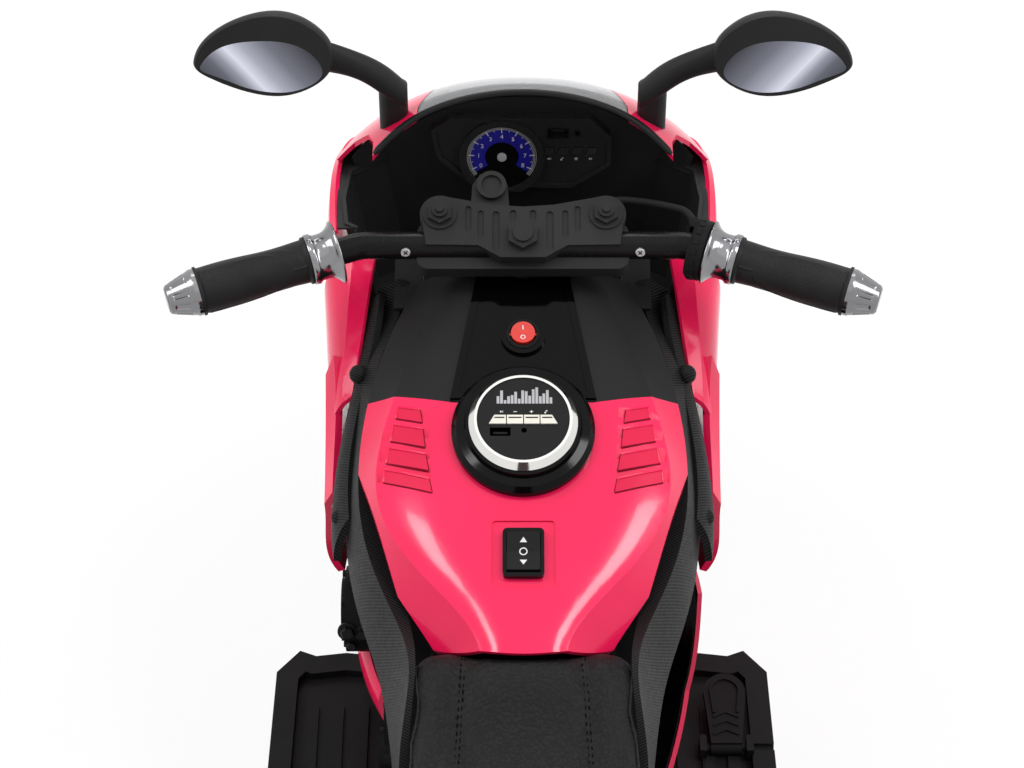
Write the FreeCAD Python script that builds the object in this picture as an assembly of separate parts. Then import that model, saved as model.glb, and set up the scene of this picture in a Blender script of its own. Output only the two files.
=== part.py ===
"""Kids' electric motorbike: a ride-on toy with stabiliser wheels.

Millimetres. X is the rider's right, Y is forward, Z is up.
The origin is on the ground, at the middle of the bike's length and width.
"""
import FreeCAD
import Part
import math
import os

V = FreeCAD.Vector

# Wheels and axles
wheel_radius = 125.0
wheel_width = 58.0
axle_radius = 6.0
stabiliser_radius = 55.0
stabiliser_width = 30.0
stabiliser_track = 148.0
rear_axle_y = -308.0

# Fits and walls
running_clearance = 0.05
seat_clearance = 0.3
shut_line = 0.5
wall = 3.0

# Steering head, fork and handlebar
rake = 24.5
head_y = 137.4
head_z = 513.4
fork_offset = 16.0
fork_spacing = 54.0
fork_leg_radius = 15.0
stem_radius = 11.0
head_tube_radius = 20.0
head_tube_wall = 3.0
head_tube_top = -48.0
mudguard_gap = 12.0
crown_height = 22.0
clamp_plate = 10.0
clamp_depth = 23.0
bar_radius = 9.0
bar_knee_x = 105.0
bar_sweep = 18.5
bar_rise = 3.0
bar_bend_radius = 25.0
grip_start = 16.0
grip_length = 74.0
flange_length = 20.0
flange_radius = 21.0
grip_radius = 14.3
bar_end_length = 21.0
cable_radius = 2.5
housing_from = 4.6
housing_radius = 20.0

# Tank and what sits on it
tank_slope = 16.5
tank_y = 26.0
tank_z = 445.0
tank_rib_depth = 8.0
screw_x = 77.0
screw_p = 147.0
music_height = 19.0
music_base_radius = 45.7
music_ring_radius = 34.6
music_face_radius = 29.3
power_switch_p = 71.0
power_bezel_radius = 11.0
power_rocker_radius = 7.8
direction_switch_p = -85.0
direction_bezel_x = 26.0
direction_bezel_y = 33.0
direction_rocker_x = 20.8
direction_rocker_y = 26.0
pivot_radius = 1.2
button_gap = 0.3
button_travel = 1.0
button_lift = 0.8
rocker_room = 1.0
music_pad = 9.0
music_step = 14.0
music_jack_x = 0.5
usb_x = -14.5
usb_y = -9.0
usb_width = 13.0
usb_height = 6.0
usb_depth = 10.0

# Instrument cluster
dash_y = 237.0
dash_z = 497.0
dash_tilt = 80.0
dash_depth = 20.0
dial_x = -14.0
dial_radius = 24.0
jack_radius = 1.8
jack_depth = 10.0

# Chassis, drive and seat
core_half = 58.0
spine_half = 32.0
spine_depth = 38.0
arm_half = 68.0
well_half = 36.0
well_gap = 9.0
floor_z = 118.0
seat_front_y = -104.0
seat_rear_y = -412.0
seat_root = 6.0
charge_radius = 2.75
charge_depth = 12.0
motor_radius = 18.0
motor_lean = 42.2
motor_gap = 4.3
drive_boss_radius = 15.0
strut_reach = 50.0
charge_y = -60.0
charge_z = 320.0

# Footboards and pedal
footboard_z = 126.0
footboard_thickness = 8.0
footboard_rim = 7.0
footboard_half = 178.0
pedal_width = 30.0
pedal_length = 66.0
pedal_tilt = 10.0


# Shared frames: each has X to the right and its own Y and Z
steer_frame = FreeCAD.Placement(V(0, head_y, head_z), FreeCAD.Rotation(V(1, 0, 0), rake))
tank_frame = FreeCAD.Placement(V(0, tank_y, tank_z), FreeCAD.Rotation(V(1, 0, 0), tank_slope))
dash_frame = FreeCAD.Placement(V(0, dash_y, dash_z), FreeCAD.Rotation(V(1, 0, 0), dash_tilt))

rake_sin = math.sin(math.radians(rake))
rake_cos = math.cos(math.radians(rake))
axle_w = (wheel_radius - head_z - fork_offset * rake_sin) / rake_cos
front_axle_y = head_y + fork_offset * rake_cos - axle_w * rake_sin
front_reach = front_axle_y + wheel_radius
tail_y = -front_reach
crown_low = axle_w + wheel_radius + mudguard_gap + 12.0
crown_top = crown_low + crown_height
head_tube_low = crown_top + 7.0
bar_v = -2.0
bar_w = -clamp_plate - 1.0
well_radius = wheel_radius + well_gap
motor_reach = well_radius + wall + motor_radius + motor_gap
motor_y = rear_axle_y + motor_reach * math.cos(math.radians(motor_lean))
motor_z = wheel_radius + motor_reach * math.sin(math.radians(motor_lean))
arm_heel = [(rear_axle_y, wheel_radius - 39), (rear_axle_y - 42, wheel_radius - 25),
            (rear_axle_y - 44, wheel_radius + 15)]


# Shape helpers
def box(x0, x1, y0, y1, z0, z1):
    return Part.makeBox(x1 - x0, y1 - y0, z1 - z0, V(x0, y0, z0))


def rod(start, end, radius):
    axis = end.sub(start)
    return Part.makeCylinder(radius, axis.Length, start, axis)


def cone(start, end, radius0, radius1):
    axis = end.sub(start)
    return Part.makeCone(radius0, radius1, axis.Length, start, axis)


def disc(x, y, z0, z1, radius):
    return rod(V(x, y, z0), V(x, y, z1), radius)


def closed_wire(points):
    return Part.makePolygon(points + [points[0]])


def closed_curve(points):
    curve = Part.BSplineCurve()
    curve.interpolate(Points=points, PeriodicFlag=True)
    return Part.Wire([curve.toShape()])


def curved_plate(outline, z0, z1):
    face = Part.Face(closed_curve([V(x, y, z0) for x, y in outline]))
    return face.extrude(V(0, 0, z1 - z0))


def plate(outline, z0, z1):
    face = Part.Face(closed_wire([V(x, y, z0) for x, y in outline]))
    return face.extrude(V(0, 0, z1 - z0))


def side_plate(outline, x0, x1):
    face = Part.Face(closed_wire([V(x0, y, z) for y, z in outline]))
    return face.extrude(V(x1 - x0, 0, 0))


def hexagon(x, y, z0, z1, radius):
    turns = [math.radians(60 * i + 30) for i in range(6)]
    return plate([(x + radius * math.cos(t), y + radius * math.sin(t)) for t in turns], z0, z1)


def slot(x, y0, y1, z0, z1, half_width):
    middle = box(x - half_width, x + half_width, y0, y1, z0, z1)
    return middle.fuse([disc(x, y0, z0, z1, half_width), disc(x, y1, z0, z1, half_width)])


def place(shape, frame):
    moved = shape.copy()
    moved.Placement = frame.multiply(moved.Placement)
    return moved


def mirrored(shape):
    return shape.mirror(V(0, 0, 0), V(1, 0, 0))


def joined(shapes):
    return shapes[0].fuse(shapes[1:]).removeSplitter()


def largest(shape):
    return max(shape.Solids, key=lambda solid: solid.Volume)


def rounded(shape, radius, along):
    """Fillet the straight edges that run along one direction."""
    edges = []
    for edge in shape.Edges:
        if len(edge.Vertexes) == 2 and isinstance(edge.Curve, (Part.Line, Part.LineSegment)):
            way = edge.Vertexes[1].Point.sub(edge.Vertexes[0].Point)
            if way.Length > 0 and abs(way.normalize().dot(along)) > 0.999:
                edges.append(edge)
    return shape.makeFillet(radius, edges)


def turned(profile, start, axis):
    """Solid of revolution: profile points are (radius, distance along the axis)."""
    face = Part.Face(closed_wire([V(r, 0, s) for r, s in profile]))
    solid = face.revolve(V(0, 0, 0), V(0, 0, 1), 360)
    return place(solid, FreeCAD.Placement(start, FreeCAD.Rotation(V(0, 0, 1), axis)))


def offset_points(points, distance, closed=False):
    """Move a line of points to its right-hand side, mitred at the corners."""
    count = len(points)
    normals = []
    for i in range(count if closed else count - 1):
        x0, z0 = points[i]
        x1, z1 = points[(i + 1) % count]
        length = math.hypot(x1 - x0, z1 - z0)
        normals.append(((z1 - z0) / length, (x0 - x1) / length))
    moved = []
    for i, (x, z) in enumerate(points):
        before = normals[i - 1] if closed or i > 0 else normals[0]
        after = normals[i] if i < len(normals) else normals[-1]
        share = distance / (1 + before[0] * after[0] + before[1] * after[1])
        moved.append((x + share * (before[0] + after[0]), z + share * (before[1] + after[1])))
    return moved


def inset(outline, distance):
    """A closed outline drawn in by a distance, or grown by a negative one."""
    turn = sum(a[0] * b[1] - b[0] * a[1] for a, b in zip(outline, outline[1:] + outline[:1]))
    return offset_points(outline, -distance if turn > 0 else distance, True)


def smooth_edge(points):
    if len(points) == 2:
        return Part.makeLine(points[0], points[1])
    curve = Part.BSplineCurve()
    curve.interpolate(points)
    return curve.toShape()


def skin_wire(y, points, thickness, creases):
    inner = offset_points(points, thickness)
    stops = [0] + list(creases) + [len(points) - 1]
    spans = list(zip(stops, stops[1:]))
    outer_line = [V(x, y, z) for x, z in points]
    inner_line = [V(x, y, z) for x, z in inner]
    edges = [smooth_edge(outer_line[a:b + 1]) for a, b in spans]
    edges.append(Part.makeLine(outer_line[-1], inner_line[-1]))
    edges += [smooth_edge(inner_line[a:b + 1][::-1]) for a, b in reversed(spans)]
    edges.append(Part.makeLine(inner_line[0], outer_line[0]))
    return Part.Wire(edges)


def skin(stations, thickness, creases=(), ruled=False):
    """Moulded panel: cross-section lines at stations along Y, given a thickness."""
    wires = [skin_wire(y, points, thickness, creases) for y, points in stations]
    return Part.makeLoft(wires, True, ruled)


def both_sides(half):
    """A full cross-section from its right half, which starts on the centre line."""
    return [(-x, z) for x, z in half[:0:-1]] + list(half)


def bent_wire(points, radius):
    """Straight runs joined by tangent arcs; a radius of None takes as much as the runs allow."""
    edges = []
    start = points[0]
    for before, corner, after in zip(points, points[1:], points[2:]):
        back = before.sub(corner)
        ahead = after.sub(corner)
        half_turn = (math.pi - back.getAngle(ahead)) / 2
        reach = 0.45 * min(back.Length, ahead.Length)
        if radius is not None:
            reach = radius * math.tan(half_turn)
        enter = corner.add(back.normalize().multiply(reach))
        leave = corner.add(ahead.normalize().multiply(reach))
        bend = reach / math.tan(half_turn)
        inward = back.add(ahead).normalize()
        middle = corner.add(inward.multiply(bend / math.cos(half_turn) - bend))
        edges.append(Part.makeLine(start, enter))
        edges.append(Part.Arc(enter, middle, leave).toShape())
        print("bend radius", round(bend, 1))
        start = leave
    edges.append(Part.makeLine(start, points[-1]))
    return Part.Wire(edges)


def bent_tube(points, radius, bend_radius):
    path = bent_wire(points, bend_radius)
    way = points[1].sub(points[0])
    ring = Part.Wire([Part.makeCircle(radius, points[0], way)])
    return path.makePipeShell([ring], True, False)


# Chassis: two moulded halves around a hollow core
def tank_point(p, n):
    point = tank_frame.multVec(V(0, p, n))
    return (point.y, point.z)


def steer_point(v, w):
    point = steer_frame.multVec(V(0, v, w))
    return (point.y, point.z)


seat_line = [(-412, 413), (-320, 378), (-200, 352), (seat_front_y + 3, 362)]


def seat_base_z(y):
    for (y0, z0), (y1, z1) in zip(seat_line, seat_line[1:]):
        if y <= y1:
            return z0 + (z1 - z0) * (y - y0) / (y1 - y0)
    return seat_line[-1][1]


core_front = front_axle_y - wheel_radius - 27.0
core_outline = [
    (core_front, 160), (core_front - 30, floor_z), (-165, floor_z), *arm_heel,
    (motor_y - 68, motor_z + 30), (-268, 322), (-300, 344), (-410, 388), (-422, 400), *seat_line,
    tank_point(-142, -spine_depth), tank_point(104, -spine_depth), steer_point(-38, -234),
    (core_front + 10, 230),
]
spine_outline = [
    tank_point(-132, -spine_depth - 6), tank_point(-132, -tank_rib_depth),
    tank_point(106, -tank_rib_depth), tank_point(104, -spine_depth - 6),
]
arm_outline = [
    (-120, floor_z), *arm_heel, (motor_y - 50, motor_z + 38), (motor_y + 30, motor_z + 38),
    (motor_y + 70, motor_z - 32),
]


def gearbox_plate(x0, x1, margin):
    hub = rod(V(x0, rear_axle_y, wheel_radius), V(x1, rear_axle_y, wheel_radius), 34 - margin)
    nose = rod(V(x0, motor_y, motor_z), V(x1, motor_y, motor_z), 24 - margin)
    link = side_plate([(rear_axle_y - 20, wheel_radius + 24), (motor_y - 15, motor_z + 18),
                       (motor_y + 15, motor_z - 18), (rear_axle_y + 20, wheel_radius - 24)], x0, x1)
    return hub.fuse([nose, link]).removeSplitter()


rear_hub = V(0, rear_axle_y, wheel_radius)


def chassis():
    outer = side_plate(core_outline, -core_half, core_half)
    outer = outer.fuse([side_plate(arm_outline, -arm_half, arm_half),
                        side_plate(spine_outline, -spine_half, spine_half)])
    hollow = side_plate(inset(core_outline, wall), -core_half + wall, core_half - wall)
    arm_hollow = inset(arm_outline, wall)
    hollow = hollow.fuse([side_plate(arm_hollow, -arm_half + wall, arm_half - wall),
                          side_plate(inset(spine_outline, wall), -spine_half + wall, spine_half - wall)])
    x_way = V(1, 0, 0)
    well_wall = rod(rear_hub.sub(x_way * (well_half + wall)), rear_hub.add(x_way * (well_half + wall)),
                    well_radius + wall)
    well = rod(rear_hub.sub(x_way * well_half), rear_hub.add(x_way * well_half), well_radius)
    shell = outer.cut(hollow).fuse(well_wall.common(outer)).cut(well)
    boss = rod(V(0, 0, head_tube_low), V(0, 0, head_tube_top), head_tube_radius + 6)
    web = box(-12, 12, -44, 0, head_tube_low + 2, head_tube_top)
    strut = box(-10, 10, 10, strut_reach, -150, -130)
    head = place(joined([boss, web, strut]), steer_frame)
    bore = rod(V(0, 0, head_tube_low - 1), V(0, 0, head_tube_top + 1),
               head_tube_radius + running_clearance)
    shell = shell.fuse(head).cut(place(bore, steer_frame))
    shell = shell.cut(place(disc(0, 0, head_tube_top, 0, stem_radius + 2), steer_frame))
    shell = shell.cut(rod(rear_hub.sub(x_way * 100), rear_hub.add(x_way * 100),
                          axle_radius + running_clearance))
    drive_hole = rod(rear_hub.add(x_way * (well_half - 1)), rear_hub.add(x_way * (well_half + wall + 1)),
                     drive_boss_radius + seat_clearance)
    charge = rod(V(core_half - 1, charge_y, charge_z), V(core_half + 1, charge_y, charge_z), charge_radius)
    socket = rod(V(core_half - charge_depth, charge_y, charge_z), V(core_half - 1, charge_y, charge_z),
                 charge_radius + 3.5)
    shell = shell.fuse(socket).cut([drive_hole, charge])
    plug_hole = rod(V(core_half - charge_depth + 2, charge_y, charge_z),
                    V(core_half + 1, charge_y, charge_z), charge_radius)
    half_x = direction_bezel_x / 2 - 1
    half_y = direction_bezel_y / 2 - 1
    switch_holes = [disc(0, power_switch_p, -30, 0, power_bezel_radius - 0.5),
                    box(-half_x, half_x, direction_switch_p - half_y, direction_switch_p + half_y, -30, 0)]
    shell = shell.cut([plug_hole] + [place(hole, tank_frame) for hole in switch_holes]).removeSplitter()
    big = 600
    left = shell.common(box(-big, 0, -big, big, -big, 2 * big))
    right = shell.common(box(0, big, -big, big, -big, 2 * big))
    return left, right


def head_bearing():
    tube = disc(0, 0, head_tube_low, head_tube_top, head_tube_radius)
    inner = head_tube_radius - head_tube_wall
    tube = tube.cut(disc(0, 0, head_tube_low - 1, head_tube_top + 1, inner))
    bushes = []
    for low, high in ((head_tube_low, head_tube_low + 18), (head_tube_top - 18, head_tube_top)):
        bush = disc(0, 0, low, high, inner - running_clearance)
        bushes.append(bush.cut(disc(0, 0, low - 1, high + 1, stem_radius + running_clearance)))
    return place(Part.makeCompound([tube] + bushes), steer_frame)


def drive_unit():
    inside = well_half + wall + seat_clearance
    outside = arm_half - wall - seat_clearance
    box_part = gearbox_plate(inside, outside, 0)
    x_way = V(1, 0, 0)
    box_part = box_part.cut(rod(rear_hub, rear_hub.add(x_way * 100), axle_radius + running_clearance))
    recess = rod(rear_hub, rear_hub.add(x_way * (inside + 7)), drive_boss_radius + seat_clearance)
    box_part = box_part.cut(recess)
    motor = rod(V(-22, motor_y, motor_z), V(inside, motor_y, motor_z), motor_radius)
    return Part.makeCompound([box_part, motor])


def battery():
    low = floor_z + wall
    return rounded(box(-32.5, 32.5, -75, 76, low, low + 94), 3, V(0, 0, 1))


# Wheels
def wheel(width, hub_half, bore):
    """Blow-moulded wheel on the X axis: hub, dished web with windows, rim and tyre tread."""
    half = width / 2
    tread = wheel_radius - 18
    rim = wheel_radius - 40
    edges = []
    right = [V(hub_half, 0, bore), V(hub_half, 0, bore + 10), V(9, 0, bore + 13), V(9, 0, rim - 8),
             V(half - 6, 0, rim), V(half, 0, rim + 10), V(half, 0, tread)]
    left = [V(-p.x, 0, p.z) for p in reversed(right)]
    for a, b in zip(right, right[1:]):
        edges.append(Part.makeLine(a, b))
    edges.append(Part.Arc(right[-1], V(0, 0, wheel_radius), left[0]).toShape())
    for a, b in zip(left, left[1:]):
        edges.append(Part.makeLine(a, b))
    edges.append(Part.makeLine(left[-1], right[0]))
    solid = Part.Face(Part.Wire(edges)).revolve(V(0, 0, 0), V(1, 0, 0), 360)
    windows = []
    middle = (bore + 13 + rim - 8) / 2
    for i in range(5):
        turn = math.radians(72 * i + 18)
        centre = V(0, middle * math.cos(turn), middle * math.sin(turn))
        windows.append(rod(centre.sub(V(20, 0, 0)), centre.add(V(20, 0, 0)), (rim - bore) / 4.2))
    return solid.cut(windows)


def axle_with_nuts(reach, nut_from):
    bar = rod(V(-reach, 0, 0), V(reach, 0, 0), axle_radius)
    nuts = []
    for side in (-1, 1):
        nut = hexagon(0, 0, 0, 8, axle_radius + 5)
        turn = FreeCAD.Rotation(V(0, 0, 1), V(side, 0, 0))
        nuts.append(place(nut, FreeCAD.Placement(V(side * nut_from, 0, 0), turn)))
    return joined([bar] + nuts)


def stabiliser_wheel():
    half = stabiliser_width / 2
    profile = [(axle_radius + running_clearance, -half), (16, -half), (18, -half + 6),
               (stabiliser_radius - 12, -half + 6), (stabiliser_radius - 9, -half),
               (stabiliser_radius - 3, -half), (stabiliser_radius, -half + 5),
               (stabiliser_radius, half - 5), (stabiliser_radius - 3, half),
               (stabiliser_radius - 9, half), (stabiliser_radius - 12, half - 6),
               (18, half - 6), (16, half), (axle_radius + running_clearance, half)]
    return turned(profile, V(stabiliser_track, rear_axle_y, stabiliser_radius), V(1, 0, 0))


def stabiliser_arm():
    """Bent steel tube from a flange on the rear arm to the stabiliser's axle."""
    inner = stabiliser_track - stabiliser_width / 2 - seat_clearance
    outer = stabiliser_track + stabiliser_width / 2 + seat_clearance
    foot = V(arm_half, rear_axle_y + 70, wheel_radius + 20)
    hub = V(inner, rear_axle_y, stabiliser_radius)
    flange = rod(foot, foot.add(V(6, 0, 0)), 16)
    points = [foot.add(V(3, 0, 0)), foot.add(V(20, 0, 0)), hub.sub(V(24, 0, 0)), hub]
    leg = bent_tube(points, 8, 14)
    axle = rod(hub.sub(V(1, 0, 0)), V(outer + 6, rear_axle_y, stabiliser_radius), axle_radius)
    cap = rod(V(outer, rear_axle_y, stabiliser_radius), V(outer + 6, rear_axle_y, stabiliser_radius), 11)
    return joined([flange, leg, axle, cap])


# Steering assembly, modelled upright and then raked
def front_fork():
    parts = []
    for side in (-1, 1):
        x = side * fork_spacing
        parts.append(disc(x, fork_offset, axle_w - 20, crown_low, fork_leg_radius))
        parts.append(disc(x, fork_offset, crown_low - 70, crown_low, fork_leg_radius + 2))
    crown = box(-fork_spacing - 18, fork_spacing + 18, -18, fork_offset + 20, crown_low, crown_top)
    parts.append(rounded(crown, 14, V(0, 0, 1)))
    body = joined(parts)
    body = body.cut(disc(0, 0, crown_low - 1, crown_top + 1, stem_radius + running_clearance))
    reach = V(fork_spacing + 30, 0, 0)
    hub = V(0, fork_offset, axle_w)
    return body.cut(rod(hub.sub(reach), hub.add(reach), axle_radius + running_clearance))


def steering_stem():
    stem = disc(0, 0, crown_low, -clamp_depth, stem_radius)
    flange = disc(0, 0, -clamp_depth - 3, -clamp_depth, stem_radius + 8)
    nut = hexagon(0, 0, crown_low - 8, crown_low, stem_radius + 5)
    return joined([stem, flange, nut])


def front_mudguard():
    hub = V(0, fork_offset, axle_w)
    inner = wheel_radius + mudguard_gap
    half = wheel_width / 2 + 7
    arch = rod(hub.sub(V(half, 0, 0)), hub.add(V(half, 0, 0)), inner + wall)
    arch = arch.cut(rod(hub.sub(V(half + 1, 0, 0)), hub.add(V(half + 1, 0, 0)), inner))
    reach = 2 * wheel_radius
    rays = [math.radians(a) for a in (12, 40, 65, 90, 118)]
    wedge = [(fork_offset, axle_w)]
    wedge += [(fork_offset + reach * math.cos(a), axle_w + reach * math.sin(a)) for a in rays]
    arch = arch.common(side_plate(wedge, -half - 1, half + 1))
    tab = box(-14, 14, 2, fork_offset + 12, axle_w + inner + 1, crown_low)
    return arch.fuse(tab).cut(disc(0, 0, crown_low - 40, crown_low, stem_radius + 8))


clamp_outline = [
    (-54, 28.5), (-20, 22), (0, 20.7), (20, 22), (54, 28.5), (66, 16), (63, -6), (29, -6.5),
    (14.5, -15), (-14.5, -15), (-29, -6.5), (-63, -6), (-66, 16),
]
lock_x = -20.5
lock_v = 37.0


def top_clamp():
    lobes = [disc(side * fork_spacing, 15.5, -clamp_plate, 0, 13) for side in (-1, 1)]
    top = plate(clamp_outline, -clamp_plate, 0).fuse(lobes)
    under = rounded(box(-69, 69, -19, 14, -clamp_depth, -clamp_plate), 8, V(0, 0, 1))
    studs = [hexagon(0, 0, 0, 5, 10.5), disc(0, 0, 5, 7, 6.5)]
    for side in (-1, 1):
        x = side * fork_spacing
        studs.append(disc(x, 15.5, 0, 1.5, 11))
        studs.append(hexagon(x, 15.5, 1.5, 5, 8.5))
        studs.append(disc(x, 15.5, 5, 7.5, 5))
        studs.append(disc(x, 15.5, 7.5, 9.5, 2.5))
    tongue = plate([(-35, 10), (-8, 10), (-10, 38), (-14, 46), (-28, 46), (-33, 38)],
                   -clamp_plate, -clamp_plate + 5)
    lock = disc(lock_x, lock_v, -clamp_plate - 8, -1, 9.7)
    body = joined([top, under, tongue, lock] + studs)
    grooves = [disc(lock_x, lock_v, -3, 0, 6.7)]
    for side in (-1, 1):
        grooves.append(slot(side * 17.5, -8, 15, -1.2, 1, 2.3))
        grooves.append(slot(side * 27.5, 1, 16, -1.2, 1, 2.0))
        grooves.append(slot(side * 35.5, 5, 19, -1.2, 1, 2.0))
        grooves.append(slot(side * 6.5, 13, 16, -1.2, 1, 2.2))
    bar_hole = rod(V(-120, bar_v, bar_w), V(120, bar_v, bar_w), bar_radius + running_clearance)
    return body.cut(grooves + [bar_hole])


sweep_sin = math.sin(math.radians(bar_sweep))
sweep_cos = math.cos(math.radians(bar_sweep))
rise_sin = math.sin(math.radians(bar_rise))
rise_cos = math.cos(math.radians(bar_rise))
bar_knee = V(bar_knee_x, bar_v, bar_w)
bar_way = V(sweep_cos * rise_cos, -sweep_sin * rise_cos, rise_sin)
grip_from = grip_start + flange_length + 0.2
grip_to = grip_from + grip_length


def handlebar():
    tip = bar_knee.add(bar_way * (grip_to - 0.5))
    points = [V(-tip.x, tip.y, tip.z), V(-bar_knee_x, bar_v, bar_w), bar_knee, tip]
    return bent_tube(points, bar_radius, bar_bend_radius)


grip_bore = bar_radius + running_clearance


def grip():
    ring = grip_radius + 1.7
    profile = [(grip_bore, grip_from), (ring, grip_from), (ring, grip_from + 4),
               (grip_radius, grip_from + 6), (grip_radius - 0.8, (grip_from + grip_to) / 2),
               (grip_radius, grip_to - 8), (ring, grip_to - 6), (ring, grip_to - 2),
               (grip_radius, grip_to), (grip_bore, grip_to)]
    return turned(profile, bar_knee, bar_way)


def grip_trim():
    flange_end = grip_start + flange_length
    flange = turned([(grip_bore, grip_start), (flange_radius - 1, grip_start),
                     (flange_radius, grip_start + 1), (flange_radius - 1, grip_start + 3),
                     (grip_radius + 1, grip_start + 7), (grip_radius, grip_start + 11),
                     (grip_radius + 1, flange_end - 5), (grip_radius + 2.5, flange_end - 3),
                     (grip_radius + 2.5, flange_end), (grip_bore, flange_end)], bar_knee, bar_way)
    start = grip_to + 0.2
    end = start + bar_end_length
    cap = turned([(0, start), (grip_radius + 1.2, start), (grip_radius + 1.2, start + 4),
                  (grip_radius - 4.5, end - 1.5), (grip_radius - 6, end), (0, end)], bar_knee, bar_way)
    return Part.makeCompound([flange, cap])


cable_exit = bar_knee.add(bar_way * ((housing_from + grip_start) / 2)).add(V(-3, housing_radius + 2, -4))


def throttle_housing():
    start = housing_from
    end = grip_start - 0.3
    ring = turned([(grip_bore, start), (housing_radius - 2, start), (housing_radius, start + 2),
                   (housing_radius, end - 1), (housing_radius - 1, end), (grip_bore, end)],
                  bar_knee, bar_way)
    middle = bar_knee.add(bar_way * ((start + end) / 2))
    outlet = rod(middle, cable_exit, 4.5).cut(rod(bar_knee, bar_knee.add(bar_way * 60), 14))
    return joined([ring, outlet])


cable_route = [
    cable_exit, cable_exit.add(V(-5, 9, -3)), V(86, 32, -20), V(64, 37, -25), V(43, 35, -30),
    V(26, 25, -35), V(14, 14, -37), V(7.9, 7.9, -37.5),
]


def throttle_cable():
    tube = bent_tube(cable_route, cable_radius, None)
    return tube.cut([disc(0, 0, -60, -20, stem_radius), throttle_housing()])


# Tank, with its own sloping frame
def tank_half(p, strip, ridge, edge, ridge_drop, edge_drop):
    return (p, both_sides([(0, 0), (strip, -0.6), (ridge, -ridge_drop), (edge, -edge_drop)]))


tank_stations = [
    tank_half(-165, 18, 28, 45, 3, 27), tank_half(-105, 36, 56, 77, 4, 27),
    tank_half(-45, 62, 92, 103, 5, 26), tank_half(0, 58, 90, 105, 5, 24),
    tank_half(45, 45, 78, 98, 6, 21), tank_half(95, 34, 60, 82, 7, 20),
    tank_half(140, 26, 40, 56, 8, 19),
]
colour_break = [(-130, 38), (-45, 22), (45, 22), (130, 38)]
strip_outline = [(-28.5, 128), (28.5, 128), (47, 24.5), (-47, 24.5)]


def tank_skin(lift=0.0):
    stations = [(p, [(x, n + lift) for x, n in points]) for p, points in tank_stations]
    return skin(stations, wall, creases=(1, 5))


def tank_rear_trim(margin=0.0):
    corner = -130 - margin
    arc = Part.Arc(V(-70, corner, -80), V(0, -152 - margin, -80), V(70, corner, -80)).toShape()
    corners = [V(70, corner, -80), V(130, 60, -80), V(-130, 60, -80), V(-70, corner, -80)]
    return Part.Face(Part.Wire([arc] + Part.makePolygon(corners).Edges)).extrude(V(0, 0, 160))


def louvre_cuts():
    """Four wedge-shaped recesses a side, each deepest at its rear edge."""
    cuts = []
    for side in (-1, 1):
        for i in range(4):
            p = 18 - 15 * i
            lean = FreeCAD.Rotation(V(0, 1, 0), side * 7).multiply(FreeCAD.Rotation(V(1, 0, 0), 11))
            wedge = box(-14 - i, 14 + i, -6, 6, 0, 12)
            cuts.append(place(wedge, FreeCAD.Placement(V(side * 75, p, -3.3), lean)))
    return cuts


def tank_cover():
    cover = tank_skin().common(tank_rear_trim())
    cover = cover.cut(plate(colour_break + [(130, 200), (-130, 200)], -80, 80))
    ribs = [box(x - 2, x + 2, -130, 10, -tank_rib_depth, -1.8) for x in (-26, 26)]
    cover = cover.fuse(ribs)
    p = direction_switch_p
    frame = rounded(box(-20, 20, p - 23, p + 23, -1.1, 10), 3, V(0, 0, 1))
    opening = box(-direction_bezel_x / 2 + 1, direction_bezel_x / 2 - 1,
                  p - direction_bezel_y / 2 + 1, p + direction_bezel_y / 2 - 1, -40, 20)
    cover = cover.cut([frame, opening] + louvre_cuts())
    return place(cover, tank_frame)


def tank_front_panel():
    front = 127.0
    region = plate(colour_break[::-1] + [(-130, 118), (-64, front - 3), (-28, front), (28, front),
                                         (64, front - 3), (130, 118)], -80, 80)
    panel = tank_skin().common(region)
    raised = tank_skin(1.4).common(plate(strip_outline, -80, 80).common(region))
    sunk = plate(inset(strip_outline, 5), -0.1, 20)
    raised = raised.cut(sunk)
    p = power_switch_p
    ring = disc(0, p, -1.5, 3.0, power_bezel_radius + 3.5)
    ribs = [box(x - 2, x + 2, 45, 104, -tank_rib_depth, -1.8) for x in (-26, 26)]
    tab = box(screw_x - 11, screw_x + 8, 104, screw_p + 8, -25, -21.5)
    panel = panel.fuse([raised, ring, tab, mirrored(tab)] + ribs)
    panel = panel.cut(disc(0, p, -60, 20, power_bezel_radius - 1))
    panel = panel.cut(disc(0, p, 1.5, 20, power_bezel_radius + seat_clearance))
    placed = place(panel, tank_frame)
    return placed.cut(place(disc(0, 0, -140, 40, stem_radius + 2.5), steer_frame))


def music_button_outlines():
    """Four keys in a row that make one trapezium."""
    low_y, high_y = -3.6, 2.6
    low = [-22.0, -10.6, 0.2, 10.6, 22.0]
    high = [-18.5, -10.6, 0.2, 10.6, 18.5]
    rows = []
    for i in range(4):
        gap = button_gap
        rows.append([(low[i] + gap, low_y), (low[i + 1] - gap, low_y),
                     (high[i + 1] - gap, high_y), (high[i] + gap, high_y)])
    return rows


def music_panel():
    profile = [(0, -2.4), (music_base_radius - 1, -2.4), (music_base_radius, 1), (music_base_radius, 5),
               (music_base_radius - 3, music_pad), (music_ring_radius + 3, music_pad + 1),
               (music_ring_radius + 2, music_step), (music_face_radius, music_step),
               (music_face_radius, music_height), (0, music_height)]
    body = turned(profile, V(0, 0, 0), V(0, 0, 1))
    depth = 6.0
    pockets = [plate(inset(o, -button_gap), music_height - depth, music_height + 1)
               for o in music_button_outlines()]
    usb = box(usb_x - usb_width / 2, usb_x + usb_width / 2, usb_y - usb_height / 2,
              usb_y + usb_height / 2, music_height - usb_depth, music_height + 1)
    jack = disc(music_jack_x, usb_y + 1, music_height - jack_depth, music_height + 1, jack_radius)
    return place(body.cut(pockets + [usb, jack]), tank_frame)


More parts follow.
